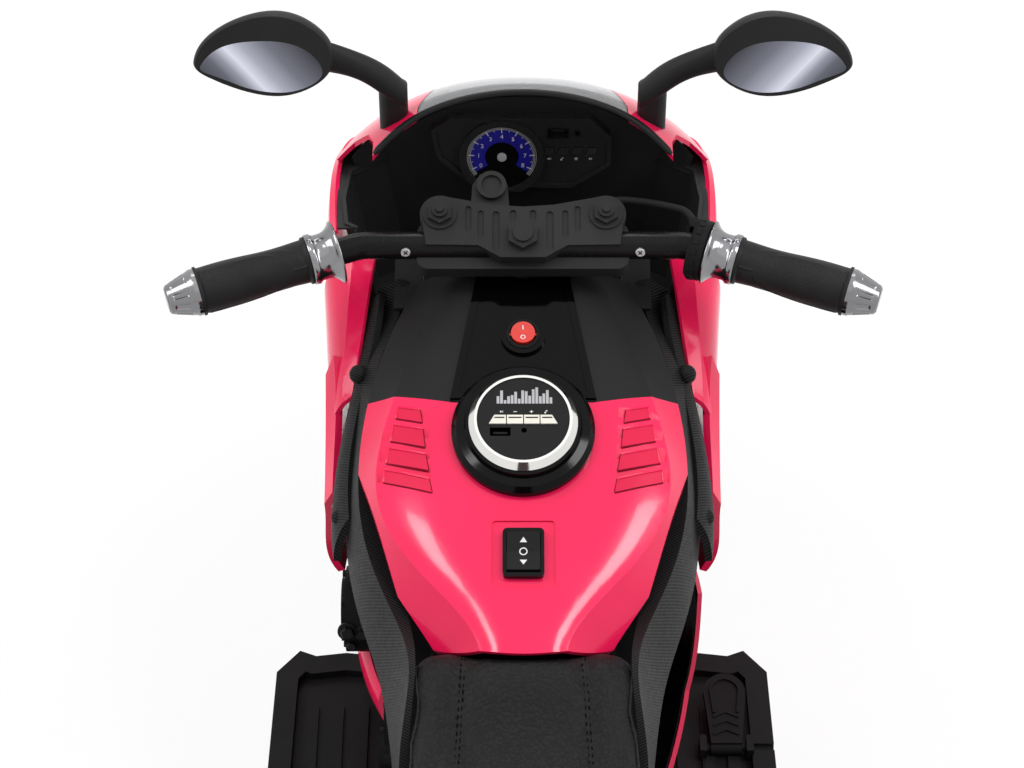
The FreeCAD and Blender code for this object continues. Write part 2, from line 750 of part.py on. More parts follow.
def music_ring():
    gap = 0.1
    profile = [(music_face_radius + gap, music_step + gap), (music_ring_radius, music_step + gap),
               (music_ring_radius, music_step + 1), (music_face_radius + 1.8, music_height + 0.8),
               (music_face_radius + gap, music_height + 0.8)]
    return place(turned(profile, V(0, 0, 0), V(0, 0, 1)), tank_frame)


def music_button(outline):
    low = music_height - 6.0 + button_travel + button_gap
    return place(plate(outline, low, music_height + button_lift), tank_frame)


def switch_bodies():
    p = power_switch_p
    depth = 14.0
    rim = disc(0, p, 1.5, 3.4, power_bezel_radius)
    barrel = disc(0, p, -depth, 1.6, power_bezel_radius - 1.3)
    room = disc(0, p, -depth + 3, 6, power_rocker_radius + rocker_room)
    power = rim.fuse(barrel).cut(room)
    pin = rod(V(-power_bezel_radius, p, 1.5), V(power_bezel_radius, p, 1.5),
              pivot_radius + running_clearance)
    power = power.cut(pin)
    q = direction_switch_p
    x = direction_bezel_x / 2
    y = direction_bezel_y / 2
    flange = rounded(box(-x, x, q - y, q + y, -1.0, 3.5), 3, V(0, 0, 1))
    case = box(-x + 1.5, x - 1.5, q - y + 1.5, q + y - 1.5, -22, -0.9)
    rx = direction_rocker_x / 2 + 0.4
    ry = direction_rocker_y / 2 + rocker_room
    direction = flange.fuse(case).cut(box(-rx, rx, q - ry, q + ry, -14, 10))
    direction = direction.cut(rod(V(-x, q, 0), V(x, q, 0), pivot_radius + running_clearance))
    return place(Part.makeCompound([power, direction]), tank_frame)


def power_rocker():
    p = power_switch_p
    r = power_rocker_radius
    body = disc(0, p, -3, 6, r)
    vee = side_plate([(p - 12, 6.1), (p - 12, 5.6), (p, 4.2), (p + 12, 5.6), (p + 12, 6.1)], -12, 12)
    pin = rod(V(-r - 1.6, p, 1.5), V(r + 1.6, p, 1.5), pivot_radius)
    return place(joined([body.cut(vee), pin]), tank_frame)


def direction_rocker():
    q = direction_switch_p
    x = direction_rocker_x / 2
    y = direction_rocker_y / 2
    outline = [(q - y, -4), (q - y, 5.5), (q, 3.6), (q + y, 5.5), (q + y, -4), (q, -8)]
    body = side_plate(outline, -x, x)
    pin = rod(V(-x - 1.2, q, 0), V(x + 1.2, q, 0), pivot_radius)
    return place(joined([body, pin]), tank_frame)


# Instrument cluster, with its own tilted frame
dash_outline = [
    (-62, 19), (-48, 28), (46, 28), (60, 13), (60, -8), (33, -26), (-35, -24), (-58, -2),
]
dash_button_x = [18.0, 27.5, 37.0, 46.8]
dash_button_s = 2.6
dash_usb_x = 24.0
dash_jack_x = 37.2
dash_jack_s = 16.4


def dash_button_outline(x):
    s = dash_button_s
    return [(x - 3.8, s - 2.4), (x + 2.4, s - 2.4), (x + 3.8, s + 2.4), (x - 2.4, s + 2.4)]


def dash_housing():
    body = rounded(plate(dash_outline, -dash_depth, 0), 3, V(0, 0, 1))
    face = plate(inset(dash_outline, 3), -1.5, 1)
    drum = disc(dial_x, -2, -dash_depth, 1.5, dial_radius + 5)
    drum = drum.common(plate(inset(dash_outline, -3), -dash_depth, 5))
    dial = disc(dial_x, -2, -2.5, 5, dial_radius + seat_clearance)
    body = body.cut(face).fuse(drum).cut(dial)
    pockets = [plate(inset(dash_button_outline(x), -button_gap), -7.5, 5) for x in dash_button_x]
    usb = box(dash_usb_x - usb_width / 2, dash_usb_x + usb_width / 2, 13.4, 13.4 + usb_height,
              -1.5 - usb_depth, 5)
    jack = disc(dash_jack_x, dash_jack_s, -1.5 - jack_depth, 5, jack_radius)
    return place(body.cut(pockets + [usb, jack]).removeSplitter(), dash_frame)


def dash_dial():
    dial = disc(dial_x, -2, -2.4, -1.2, dial_radius)
    hub = disc(dial_x, -2, -1.3, 0, 3)
    return place(dial.fuse(hub), dash_frame)


def dash_button(x):
    low = -7.5 + button_travel + button_gap
    return place(plate(dash_button_outline(x), low, -1.5 + button_lift), dash_frame)


# Fairings
nose_stations = [
    (190, both_sides([(0, 567), (50, 561), (88, 540), (114, 512), (129, 488)])),
    (240, both_sides([(0, 556), (48, 549), (87, 530), (112, 508), (126, 491)])),
    (290, both_sides([(0, 521), (43, 516), (79, 500), (100, 484), (112, 471)])),
    (340, both_sides([(0, 465), (34, 461), (62, 452), (78, 445), (86, 438)])),
    (380, both_sides([(0, 415), (22, 413), (40, 408), (51, 404), (57, 399)])),
    (405, both_sides([(0, 387), (10, 386), (20, 384), (26, 381), (30, 377)])),
]
cheek_stations = [
    (172, [(124, 487), (128.5, 484), (132, 455), (132, 395), (128, 334), (114, 246)]),
    (210, [(126, 487), (130, 482), (133, 452), (133, 395), (128.5, 336), (113, 249)]),
    (242, [(124.5, 490), (128.5, 484), (131.5, 450), (131.5, 395), (127, 340), (111.5, 254)]),
    (290, [(112, 470.5), (117, 463), (122, 432), (121.5, 385), (117, 338), (103.5, 272)]),
    (345, [(82, 431), (86, 427), (91, 404), (91.5, 365), (88, 328), (80, 294)]),
]
shoulder_stations = [
    (92, [(113, 412), (120, 405), (128, 384), (129, 355), (127, 322), (118, 254)]),
    (120, [(107.5, 436), (118, 430), (129, 405), (130.5, 370), (127.5, 324), (116, 249)]),
    (172, [(97, 475), (112.5, 472), (131, 448), (132, 395), (128, 334), (114, 246)]),
]
flank_stations = [
    (48, [(126, 366), (132, 354), (132.5, 326), (131, 300), (125.5, 286)]),
    (70, [(125.5, 378), (132, 364), (132.5, 334), (131, 306), (124, 280)]),
    (95, [(124.5, 398), (132, 382), (132.5, 346), (131, 318), (121, 266)]),
    (118, [(126, 424), (132, 406), (132.5, 360), (131, 328), (118.5, 256)]),
]
screen_plan = [(-71, 150), (-69, 232), (-55, 285), (-34, 345), (34, 345), (55, 285), (69, 232), (71, 150)]
lamp_plan = [(38, 352), (60, 322), (66, 330), (48, 374), (38, 374)]


def nose_rear_trim():
    points = [V(-99, 197, 200), V(-62, 216, 200), V(0, 223, 200), V(62, 216, 200), V(99, 197, 200)]
    curve = smooth_edge(points)
    ear = [V(99, 212, 200), V(103, 230, 200), V(113, 238, 200), V(150, 241, 200), V(150, 450, 200)]
    corners = [points[-1]] + ear + [V(-p.x, p.y, p.z) for p in reversed(ear)] + [points[0]]
    return Part.Face(Part.Wire([curve] + Part.makePolygon(corners).Edges)).extrude(V(0, 0, 500))


def nose_pieces(side_right, side_left):
    whole = skin(nose_stations, wall).common(nose_rear_trim())
    whole = whole.cut([side_right, side_left])
    screen = whole.common(plate(screen_plan, 200, 700))
    nose = whole.cut(plate(inset(screen_plan, -shut_line), 200, 700))
    lenses = []
    for plan in (lamp_plan, [(-x, y) for x, y in lamp_plan[::-1]]):
        lenses.append(nose.common(plate(plan, 200, 700)))
    for plan in (lamp_plan, [(-x, y) for x, y in lamp_plan[::-1]]):
        nose = nose.cut(plate(inset(plan, -shut_line), 200, 700))
    return nose, screen, lenses


def side_fairing():
    """Cheek beside the cockpit, shoulder behind it and the flank that laps over its rear edge."""
    cheek = skin(cheek_stations, wall, creases=(1,))
    shoulder = skin(shoulder_stations, wall, creases=(1,))
    flank = skin(flank_stations, wall + 2, creases=(1,))
    return joined([cheek, shoulder, flank])


side_panel_stations = [
    (150, [(75, 461.5), (82, 463.5), (90, 459), (97, 452)]),
    (110, [(81, 443), (89, 445), (98, 437), (105, 424)]),
    (62, [(89, 424), (101, 428), (109, 408), (115, 385)]),
    (15, [(91, 405), (106, 410), (112, 380), (116, 350)]),
    (-40, [(81, 389), (96, 393), (101, 364), (105, 336)]),
    (-85, [(70, 384), (78, 387), (85, 356), (91, 326)]),
    (-119, [(66.5, 388), (70.5, 388.5), (78.5, 354), (85, 318)]),
    (-160, [(70, 366), (75, 366.5), (78, 338), (80.5, 312)]),
    (-200, [(68.5, 346), (73.5, 346.5), (76.5, 329), (79, 312)]),
    (-250, [(71, 348), (76, 348.5), (78, 333), (79.5, 318)]),
    (-300, [(74, 359), (79, 359.5), (80, 344), (81, 330)]),
]
spar_stations = [
    (145, [(95, 455), (101, 449), (104, 441)]),
    (110, [(100, 438), (107, 429), (110, 418)]),
    (62, [(111, 408), (119, 394), (123, 376)]),
    (12, [(113, 380), (121, 362), (125, 338)]),
]
boss_points = [V(108, 98, 426), V(119.5, 26, 365)]


def side_panel(tank_parts):
    spar = skin(spar_stations, wall + 2)
    bosses = [Part.makeSphere(6.5, point) for point in boss_points]
    panel = skin(side_panel_stations, wall, creases=(1,)).fuse([spar] + bosses)
    tie = box(core_half + 0.2, 80, -184, -168, 318, 328)
    tie_front = box(core_half + 0.2, 108, -10, 20, 345, 355)
    inside = skin(side_panel_stations, 60).fuse(panel)
    panel = panel.fuse([tie.common(inside), tie_front.common(inside)])
    return panel.cut(tank_parts)


liner_rim = [
    (-111, 176), (-119, 181), (-121.5, 205), (-118, 233), (-94, 249), (94, 249), (118, 233), (121.5, 205),
    (119, 181), (111, 176),
]
liner_foot = [
    (-97, 180), (-104, 184), (-107, 205), (-102, 227), (-80, 242), (80, 242), (102, 227), (107, 205),
    (104, 184), (97, 180),
]
liner_foot_z = 392.0
liner_rim_z = 488.0
liner_top_z = 560.0


def liner_wire(points, z, thickness):
    inner = offset_points(points, thickness)
    return closed_wire([V(x, y, z) for x, y in points] + [V(x, y, z) for x, y in inner[::-1]])


def under_nose():
    """The room inside the nose, clear of its wall."""
    wires = []
    for y, points in nose_stations:
        line = [V(0.97 * x, y, z - wall - 2) for x, z in points]
        corners = [line[-1], V(line[-1].x, y, 250), V(line[0].x, y, 250), line[0]]
        wires.append(Part.Wire([smooth_edge(line)] + Part.makePolygon(corners).Edges))
    return Part.makeLoft(wires, True, False)


def cockpit_liner(dash):
    """Black bowl round the cockpit: its walls rise to the fairings' rim and the nose's underside."""
    share = (liner_top_z - liner_foot_z) / (liner_rim_z - liner_foot_z)
    top = [(x0 + share * (x1 - x0), y0 + share * (y1 - y0))
           for (x0, y0), (x1, y1) in zip(liner_foot, liner_rim)]
    walls = Part.makeLoft([liner_wire(liner_foot, liner_foot_z, 2.5),
                           liner_wire(top, liner_top_z, 2.5)], True, True)
    above = side_plate([(120, 463), (165, 471), (178, 485), (236, 488), (236, 620), (120, 620)], -200, 200)
    floor = plate(liner_foot, liner_foot_z, liner_foot_z + 2.5)
    floor = floor.cut(box(-62, 62, 100, 238, liner_foot_z - 5, liner_foot_z + 10))
    over = box(-200, 200, 235, 300, 488, 660).cut(under_nose())
    liner = walls.cut(above).cut(over).fuse(floor)
    return largest(liner.cut(dash))


belly_stations = [
    (190, [(100, 240), (99, 205), (86, 168), (68, 144)]),
    (110, [(117, 246), (115, 206), (103, 169), (84, 146)]),
    (40, [(123, 272), (119, 212), (108, 173), (92, 148)]),
    (-60, [(122, 268), (117, 210), (104, 173), (90, 148)]),
]
hook_stations = [
    (85, [(112, 202), (119, 186), (117, 168), (108, 150)]),
    (45, [(106, 194), (112, 180), (110, 165), (102, 150)]),
    (8, [(90, 182), (95, 173), (93, 162), (87, 152)]),
]


def belly_fairings():
    right = skin(belly_stations, wall)
    rear_edge = [(60, 300), (44, 282), (14, 200), (-36, 166), (-62, 130), (-200, 130), (-200, 300)]
    right = right.cut(side_plate(rear_edge, 0, 200))
    post = box(core_half + 0.2, 108, 60, 80, 180, 190).common(skin(belly_stations, 60))
    left = skin(hook_stations, wall)
    left = left.cut(side_plate([(40, 220), (6, 152), (-50, 140), (-50, 220)], 0, 200))
    left_post = box(core_half + 0.2, 112, 50, 64, 160, 170).common(skin(hook_stations, 56))
    return Part.makeCompound([right.fuse(post), mirrored(left.fuse(left_post))])


# Moulded engine covers
def engine_cover(reach, cover_reach, low):
    """One side's dummy engine: block, cooling fins, round cover with bolts and hose stubs."""
    start = core_half + 0.2
    block = side_plate([(96, low + 30), (110, 256), (84, 300), (-10, 300), (-60, 262), (-72, low + 20),
                        (-40, low), (40, low), (56, low + 14)], start, reach)
    block = rounded(block, 5, V(1, 0, 0))
    parts = [block]
    for i in range(5):
        z = 262 + 8 * i
        parts.append(box(reach - 1, reach + 6, -6, 66, z, z + 3.5))
    centre = V(reach - 1, 66, 226)
    parts.append(rod(centre, centre.add(V(cover_reach, 0, 0)), 30))
    parts.append(rod(centre, centre.add(V(cover_reach + 3, 0, 0)), 22))
    for i in range(6):
        turn = math.radians(60 * i)
        point = centre.add(V(0, 26 * math.cos(turn), 26 * math.sin(turn)))
        parts.append(rod(point, point.add(V(cover_reach + 2.5, 0, 0)), 2.6))
    pump = V(reach - 12, -30, 190)
    parts.append(rod(pump, pump.add(V(22, 0, 0)), 15))
    parts.append(rod(pump.add(V(0, -14, 8)), pump.add(V(18, -14, 8)), 5))
    parts.append(box(reach - 6, reach + 5, -52, -30, 222, 246))
    return joined(parts)


# Seat and tail
seat_rows = [
    (seat_front_y, 59, 64.5, 57, 398), (-160, 60, 66, 58, 391), (-200, 61, 69, 60, 385),
    (-250, 66, 77, 65, 390), (-300, 70, 84, 68, 399), (-350, 62, 76, 60, 410), (-390, 46, 58, 44, 421),
    (seat_rear_y, 34, 42, 32, 425),
]


def seat_wire(y, foot, waist, shoulder, top):
    """Cushion section: flat below, sides drawn in at the foot, crowned on top."""
    low = seat_base_z(y) - seat_root
    edge = top - 7
    right_foot = V(foot, y, low)
    right_edge = V(shoulder, y, edge)
    left_edge = V(-shoulder, y, edge)
    left_foot = V(-foot, y, low)
    middle = low + 0.55 * (edge - low)
    return Part.Wire([
        Part.makeLine(left_foot, right_foot),
        Part.Arc(right_foot, V(waist, y, middle), right_edge).toShape(),
        Part.Arc(right_edge, V(0, y, top), left_edge).toShape(),
        Part.Arc(left_edge, V(-waist, y, middle), left_foot).toShape(),
    ])


def seat_cushion():
    cushion = Part.makeLoft([seat_wire(*row) for row in seat_rows], True, False)
    below = [(y, z + seat_clearance) for y, z in seat_line]
    ground = [(seat_front_y + 30, below[-1][1]), (seat_front_y + 30, 300), (seat_rear_y - 20, 300),
              (seat_rear_y - 20, below[0][1])]
    cushion = cushion.cut(side_plate(below + ground, -120, 120))
    return cushion.cut(place(tank_rear_trim(shut_line), tank_frame))


tail_rows = [
    (-318, 82, 348, 372), (-370, 72, 358, 396), (-420, 50, 384, 444), (tail_y + 14, 34, 410, 452),
    (tail_y, 22, 420, 446),
]


def tail_wire(y, half, low, high):
    top = 0.75 * half
    foot = 0.7 * half
    return closed_wire([V(-foot, y, low), V(foot, y, low), V(half, y, (low + high) / 2), V(top, y, high),
                        V(-top, y, high), V(-half, y, (low + high) / 2)])


def tail_pieces(seat):
    cowl = Part.makeLoft([tail_wire(*row) for row in tail_rows], True, False)
    step = [(seat_rear_y - 1.5, 700), (seat_rear_y - 1.5, seat_line[0][1] - 1)]
    step += [(y, z - 1) for y, z in seat_line[1:]]
    step += [(seat_line[-1][0], 700)]
    cowl = cowl.cut(side_plate(step, -200, 200))
    cowl = cowl.cut(side_plate(core_outline, -core_half - 0.2, core_half + 0.2)).cut(seat)
    lamp = box(-17, 17, tail_y - 1, tail_y + 8, 427, 440)
    lens = cowl.common(lamp)
    return cowl.cut(lamp), lens


# Footboards and pedal
footboard_outline = [
    (core_half + 0.2, 88), (128, 96), (150, 93), (162, 98), (footboard_half, 78),
    (footboard_half + 2, -60), (footboard_half - 18, -110), (core_half + 0.2, -110),
]


def footboard():
    low = footboard_z
    high = footboard_z + footboard_thickness
    board = plate(footboard_outline, low, high + footboard_rim)
    tray = inset(footboard_outline, 16)
    tray = [(max(x, core_half + 14), y) for x, y in tray]
    board = board.cut(plate(tray, high, high + footboard_rim + 1))
    ribs = []
    for i in range(4):
        x = 92 + 18 * i
        ribs.append(box(x, x + 9, -84, 50, high - 1, high + 2.5))
    stay = box(core_half + 0.2, 120, -30, 30, low - 16, low)
    return board.fuse(ribs + [stay]).removeSplitter()


pedal_x = 145.0
pedal_y = 10.0
pedal_z = footboard_z + footboard_thickness + 6.0
pedal_frame = FreeCAD.Placement(V(pedal_x, pedal_y, pedal_z), FreeCAD.Rotation(V(1, 0, 0), pedal_tilt))


def pedal_plan(margin):
    half = pedal_width / 2 + margin
    tip = pedal_length - 10 + margin
    heel = -margin
    arch = Part.Arc(V(half, tip - half, 0), V(0, tip, 0), V(-half, tip - half, 0)).toShape()
    corners = [V(-half, tip - half, 0), V(-half + 4, heel, 0), V(half - 4, heel, 0), V(half, tip - half, 0)]
    return Part.Face(Part.Wire([arch] + Part.makePolygon(corners).Edges))


def foot_pedal():
    top = pedal_plan(0).extrude(V(0, 0, 7))
    frames = pedal_plan(-4).extrude(V(0, 0, 3)).cut(pedal_plan(-5.5).extrude(V(0, 0, 3)))
    frames = frames.cut(box(-40, 40, -10, 24, -1, 9))
    frames = place(frames, FreeCAD.Placement(V(0, 0, 5.8), FreeCAD.Rotation()))
    chevrons = []
    for i in range(3):
        y = 6 + 7 * i
        chevrons.append(plate([(-9, y), (0, y + 4), (9, y), (9, y + 2), (0, y + 6), (-9, y + 2)], 6, 8.2))
    pin = rod(V(-pedal_width / 2 - 4, 0, 0), V(pedal_width / 2 + 4, 0, 0), 3)
    heel = rod(V(-pedal_width / 2 + 4, 0, 0), V(pedal_width / 2 - 4, 0, 0), 5)
    body = joined([top, pin, heel, frames] + chevrons)
    return place(body, pedal_frame)


def footboard_right():
    board = footboard()
    lug = []
    for side in (-1, 1):
        x = pedal_x + side * (pedal_width / 2 + 1.5)
        lug.append(box(x - 2.5, x + 2.5, pedal_y - 7, pedal_y + 7, footboard_z + 2, pedal_z + 6))
    swing = []
    for angle in (0, -6, -12):
        turn = FreeCAD.Placement(V(0, 0, 0), FreeCAD.Rotation(V(1, 0, 0), angle))
        swept = pedal_plan(1.5).extrude(V(0, 0, 30))
        swing.append(place(place(swept, turn), pedal_frame))
    board = board.cut(swing)
    heel_room = rod(V(pedal_x - pedal_width / 2 + 3, pedal_y, pedal_z),
                    V(pedal_x + pedal_width / 2 - 3, pedal_y, pedal_z), 5.6)
    board = board.cut(heel_room)
    hole = rod(V(pedal_x - 40, pedal_y, pedal_z), V(pedal_x + 40, pedal_y, pedal_z), 3 + running_clearance)
    return board.fuse(lug).cut([hole, heel_room])


# Mirrors
mirror_frame = FreeCAD.Placement(V(165, 205, 606), FreeCAD.Rotation(V(1, 0, 0), 74))
mirror_outline = [
    (47, -4), (43, 6), (31, 17.5), (13, 26), (-5, 29), (-19, 26.5), (-32, 19), (-42, 6), (-41, -10),
    (-28, -22), (-9, -27.5), (15, -24), (36, -15.5),
]
glass_outline = [
    (42.5, -6), (29, 6.5), (6, 11), (-18, 8.5), (-32, -1), (-36, -11), (-25, -21), (-9, -24.5),
    (14, -21), (34, -13),
]
mirror_foot = V(86, 229, 545)


def mirror_wire(scale, z, shift):
    return closed_curve([V(x * scale + shift, y * scale, z) for x, y in mirror_outline])


def arm_wire(x, y, z, half_y, half_z):
    turns = [math.radians(45 * i) for i in range(8)]
    return closed_curve([V(x, y + half_y * math.cos(t), z + half_z * math.sin(t)) for t in turns])


def mirror_housing(nose):
    """Shell, flat arm and foot moulded in one, with a pocket for the glass."""
    shell = Part.makeLoft([mirror_wire(0.97, 0, 0), mirror_wire(1.0, -3, 0), mirror_wire(0.95, -12, -1),
                           mirror_wire(0.75, -21, -3), mirror_wire(0.35, -27, -6)], True, False)
    pocket = place(curved_plate(inset(glass_outline, -seat_clearance), -2.4, 5), mirror_frame)
    arm = Part.makeLoft([arm_wire(138, 212, 605, 6, 13), arm_wire(118, 214, 597, 6, 11),
                         arm_wire(100, 220, 583, 7, 11), arm_wire(86, 226, 566, 8, 12),
                         arm_wire(77, 229, 556, 7, 9)], True, False)
    foot = rounded(box(mirror_foot.x - 10, mirror_foot.x + 9, mirror_foot.y - 8, mirror_foot.y + 9,
                       mirror_foot.z - 20, mirror_foot.z + 18), 7, V(0, 0, 1))
    foot = max(foot.cut(nose).Solids, key=lambda solid: solid.BoundBox.ZMax)
    return joined([place(shell, mirror_frame), arm, foot]).cut(pocket)


def mirror_glass():
    return place(curved_plate(glass_outline, -2.3, -0.5), mirror_frame)


def screws():
    """Cross-head screws on the tank's two front tabs."""
    heads = []
    for x in (-screw_x, screw_x):
        head = disc(x, screw_p, -21.4, -19.4, 4.2)
        across = box(x - 2.6, x + 2.6, screw_p - 0.5, screw_p + 0.5, -20.4, -19)
        cross = across.fuse(box(x - 0.5, x + 0.5, screw_p - 2.6, screw_p + 2.6, -20.4, -19))
        heads.append(head.cut(cross))
    return place(Part.makeCompound(heads), tank_frame)


# Assembly
def build():
    nodes = {}
    cover = tank_cover()
    front_panel = tank_front_panel()
    nodes["tank_cover"] = cover
    nodes["tank_front_panel"] = front_panel
    side_right = side_fairing()
    side_left = mirrored(side_right)
    nodes["side_fairing_right"] = side_right
    nodes["side_fairing_left"] = side_left
    nose, screen, lenses = nose_pieces(side_right, side_left)
    nodes["nose_fairing"] = nose
    nodes["windshield"] = screen
    dash = dash_housing()
    nodes["dash_housing"] = dash
    nodes["dash_dial"] = dash_dial()
    for i, x in enumerate(dash_button_x):
        nodes["dash_button_%d" % (i + 1)] = dash_button(x)
    panel = side_panel([cover, front_panel, side_right])
    nodes["side_panel_right"] = largest(panel)
    nodes["side_panel_left"] = mirrored(largest(panel))
    nodes["cockpit_liner"] = cockpit_liner(dash)
    left, right = chassis()
    nodes["chassis_left"] = largest(left.cut(nodes["cockpit_liner"]))
    nodes["chassis_right"] = largest(right.cut(nodes["cockpit_liner"]))
    nodes["head_bearing"] = head_bearing()
    nodes["battery"] = battery()
    nodes["drive_unit"] = drive_unit()
    nodes["belly_fairings"] = belly_fairings()
    nodes["engine_cover_right"] = engine_cover(78, 12, 150)
    nodes["engine_cover_left"] = mirrored(engine_cover(88, 36, 186)).cut(nodes["belly_fairings"])
    nodes["engine_cover_right"] = nodes["engine_cover_right"].cut(nodes["belly_fairings"])
    nodes["footboard_left"] = mirrored(footboard())
    nodes["footboard_right"] = footboard_right()
    nodes["foot_pedal"] = foot_pedal()
    seat = seat_cushion()
    nodes["seat_cushion"] = seat
    cowl, tail_lens = tail_pieces(seat)
    nodes["tail_cowl"] = cowl
    nodes["lamp_lenses"] = Part.makeCompound(lenses + [tail_lens])
    mirror_right = mirror_housing(nose)
    nodes["mirror_right"] = mirror_right
    nodes["mirror_left"] = mirrored(mirror_right)
    nodes["mirror_glasses"] = Part.makeCompound([mirror_glass(), mirrored(mirror_glass())])
    nodes["music_panel"] = music_panel().cut([cover, front_panel])
    nodes["music_ring"] = music_ring()
    for i, outline in enumerate(music_button_outlines()):
        nodes["music_button_%d" % (i + 1)] = music_button(outline)
    nodes["switch_bodies"] = switch_bodies().cut([cover, front_panel])
    nodes["power_rocker"] = power_rocker()
    nodes["direction_rocker"] = direction_rocker()
    nodes["screws"] = screws()
    nodes["stabiliser_arms"] = Part.makeCompound([stabiliser_arm(), mirrored(stabiliser_arm())])
    nodes["stabiliser_wheel_right"] = stabiliser_wheel()
    nodes["stabiliser_wheel_left"] = mirrored(stabiliser_wheel())
    bore = axle_radius + running_clearance
    rear = wheel(wheel_width, well_half - seat_clearance, bore)
    boss = rod(V(well_half - 2, 0, 0), V(well_half + wall + 7, 0, 0), drive_boss_radius)
    rear = rear.fuse(boss.cut(rod(V(0, 0, 0), V(100, 0, 0), bore))).removeSplitter()
    nodes["rear_wheel"] = place(rear, FreeCAD.Placement(rear_hub, FreeCAD.Rotation()))
    rear_axle = axle_with_nuts(arm_half + 12, arm_half + 0.3)
    nodes["rear_axle"] = place(rear_axle, FreeCAD.Placement(rear_hub, FreeCAD.Rotation()))
    front_hub = V(0, front_axle_y, wheel_radius)
    front = wheel(wheel_width, fork_spacing - fork_leg_radius - seat_clearance, bore)
    nodes["front_wheel"] = place(front, FreeCAD.Placement(front_hub, FreeCAD.Rotation()))
    leg_face = fork_spacing + fork_leg_radius
    front_axle = axle_with_nuts(leg_face + 12, leg_face + 0.3)
    nodes["front_axle"] = place(front_axle, FreeCAD.Placement(front_hub, FreeCAD.Rotation()))
    steering = {
        "front_fork": front_fork(), "steering_stem": steering_stem(), "front_mudguard": front_mudguard(),
        "top_clamp": top_clamp(), "handlebar": handlebar(), "grip_right": grip(),
        "grip_left": mirrored(grip()), "grip_trim_right": grip_trim(),
        "grip_trim_left": mirrored(grip_trim()), "throttle_housing": throttle_housing(),
        "throttle_cable": throttle_cable(),
    }
    for name, shape in steering.items():
        nodes[name] = place(shape, steer_frame)
    return nodes


os.makedirs("parts", exist_ok=True)
for node_name, node_shape in build().items():
    print(node_name, len(node_shape.Solids), round(node_shape.Volume), node_shape.isValid())
    node_shape.exportStep("parts/%s.step" % node_name)
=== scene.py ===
"""Looks of the kids' electric motorbike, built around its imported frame."""

import math

import bmesh
import bpy
from mathutils import Matrix, Vector
from mathutils.bvhtree import BVHTree


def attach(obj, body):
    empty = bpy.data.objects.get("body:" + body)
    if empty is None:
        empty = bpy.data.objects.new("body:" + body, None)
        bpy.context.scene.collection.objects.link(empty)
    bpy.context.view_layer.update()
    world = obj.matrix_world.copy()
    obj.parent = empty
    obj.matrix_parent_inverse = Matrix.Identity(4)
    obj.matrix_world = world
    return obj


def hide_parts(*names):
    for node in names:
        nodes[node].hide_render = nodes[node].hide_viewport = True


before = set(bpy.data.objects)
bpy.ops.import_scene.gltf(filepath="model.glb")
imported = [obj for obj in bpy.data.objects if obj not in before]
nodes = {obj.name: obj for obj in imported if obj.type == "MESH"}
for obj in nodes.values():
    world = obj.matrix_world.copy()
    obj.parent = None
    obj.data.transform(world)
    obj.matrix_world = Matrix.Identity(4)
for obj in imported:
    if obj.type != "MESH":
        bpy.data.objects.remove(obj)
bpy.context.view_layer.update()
scene = bpy.context.scene
mm = 0.001

# Places in the part, in millimetres and degrees
tank_origin = Vector((0, 26, 445))
tank_tilt = 16.5
mirror_tilt = 74
wheel_radius, wheel_half = 125.0, 29.0
front_hub = Vector((0, 332.0, wheel_radius))
rear_hub = Vector((0, -308, wheel_radius))


# Frames of the part, from local millimetres to the row frame in metres
def tilted(x, y, z, degrees):
    move = Matrix.Translation(Vector((x, y, z)) * mm)
    return move @ Matrix.Rotation(math.radians(degrees), 4, "X") @ Matrix.Scale(mm, 4)


plain = Matrix.Scale(mm, 4)
steer = tilted(0, 137.4, 513.4, 24.5)
tank = tilted(*tank_origin, tank_tilt)
dash = tilted(0, 237, 497, 80)


# Shader helpers
def blank(name):
    """A new material with its tree, its shader and the object's coordinates."""
    material = bpy.data.materials.new(name)
    material.use_nodes = True
    tree = material.node_tree
    shader = tree.nodes["Principled BSDF"]
    coords = tree.nodes.new("ShaderNodeTexCoord").outputs["Object"]
    return material, tree, shader, coords


def preset(node, **values):
    """Sets plain values on a node's inputs, with _ for a space in an input's name."""
    for name, value in values.items():
        node.inputs[name.replace("_", " ")].default_value = value


def noise(tree, coords, scale, detail=3.0):
    node = tree.nodes.new("ShaderNodeTexNoise")
    preset(node, Scale=scale, Detail=detail)
    tree.links.new(coords, node.inputs["Vector"])
    return node.outputs["Fac"]


def axis(tree, coords, name):
    node = tree.nodes.new("ShaderNodeSeparateXYZ")
    tree.links.new(coords, node.inputs["Vector"])
    return node.outputs[name]


def math_of(tree, operation, *values):
    """A math node over values and plain numbers."""
    node = tree.nodes.new("ShaderNodeMath")
    node.operation = operation
    for socket, value in zip(node.inputs, values):
        if isinstance(value, (int, float)):
            socket.default_value = value
        else:
            tree.links.new(value, socket)
    return node.outputs["Value"]


def sum_of(tree, value, factor, offset):
    """value * factor + offset."""
    return math_of(tree, "MULTIPLY_ADD", value, factor, offset)


def step_of(tree, value, factor):
    """A steep rise from zero, held between 0 and 1."""
    product = math_of(tree, "MULTIPLY", value, factor)
    product.node.use_clamp = True
    return product


def along(tree, coords, way, start):
    """Distance of a point along a direction, from a start value, in metres."""
    dot = tree.nodes.new("ShaderNodeVectorMath")
    dot.operation = "DOT_PRODUCT"
    dot.inputs[1].default_value = way
    tree.links.new(coords, dot.inputs[0])
    return sum_of(tree, dot.outputs["Value"], 1.0, -start)


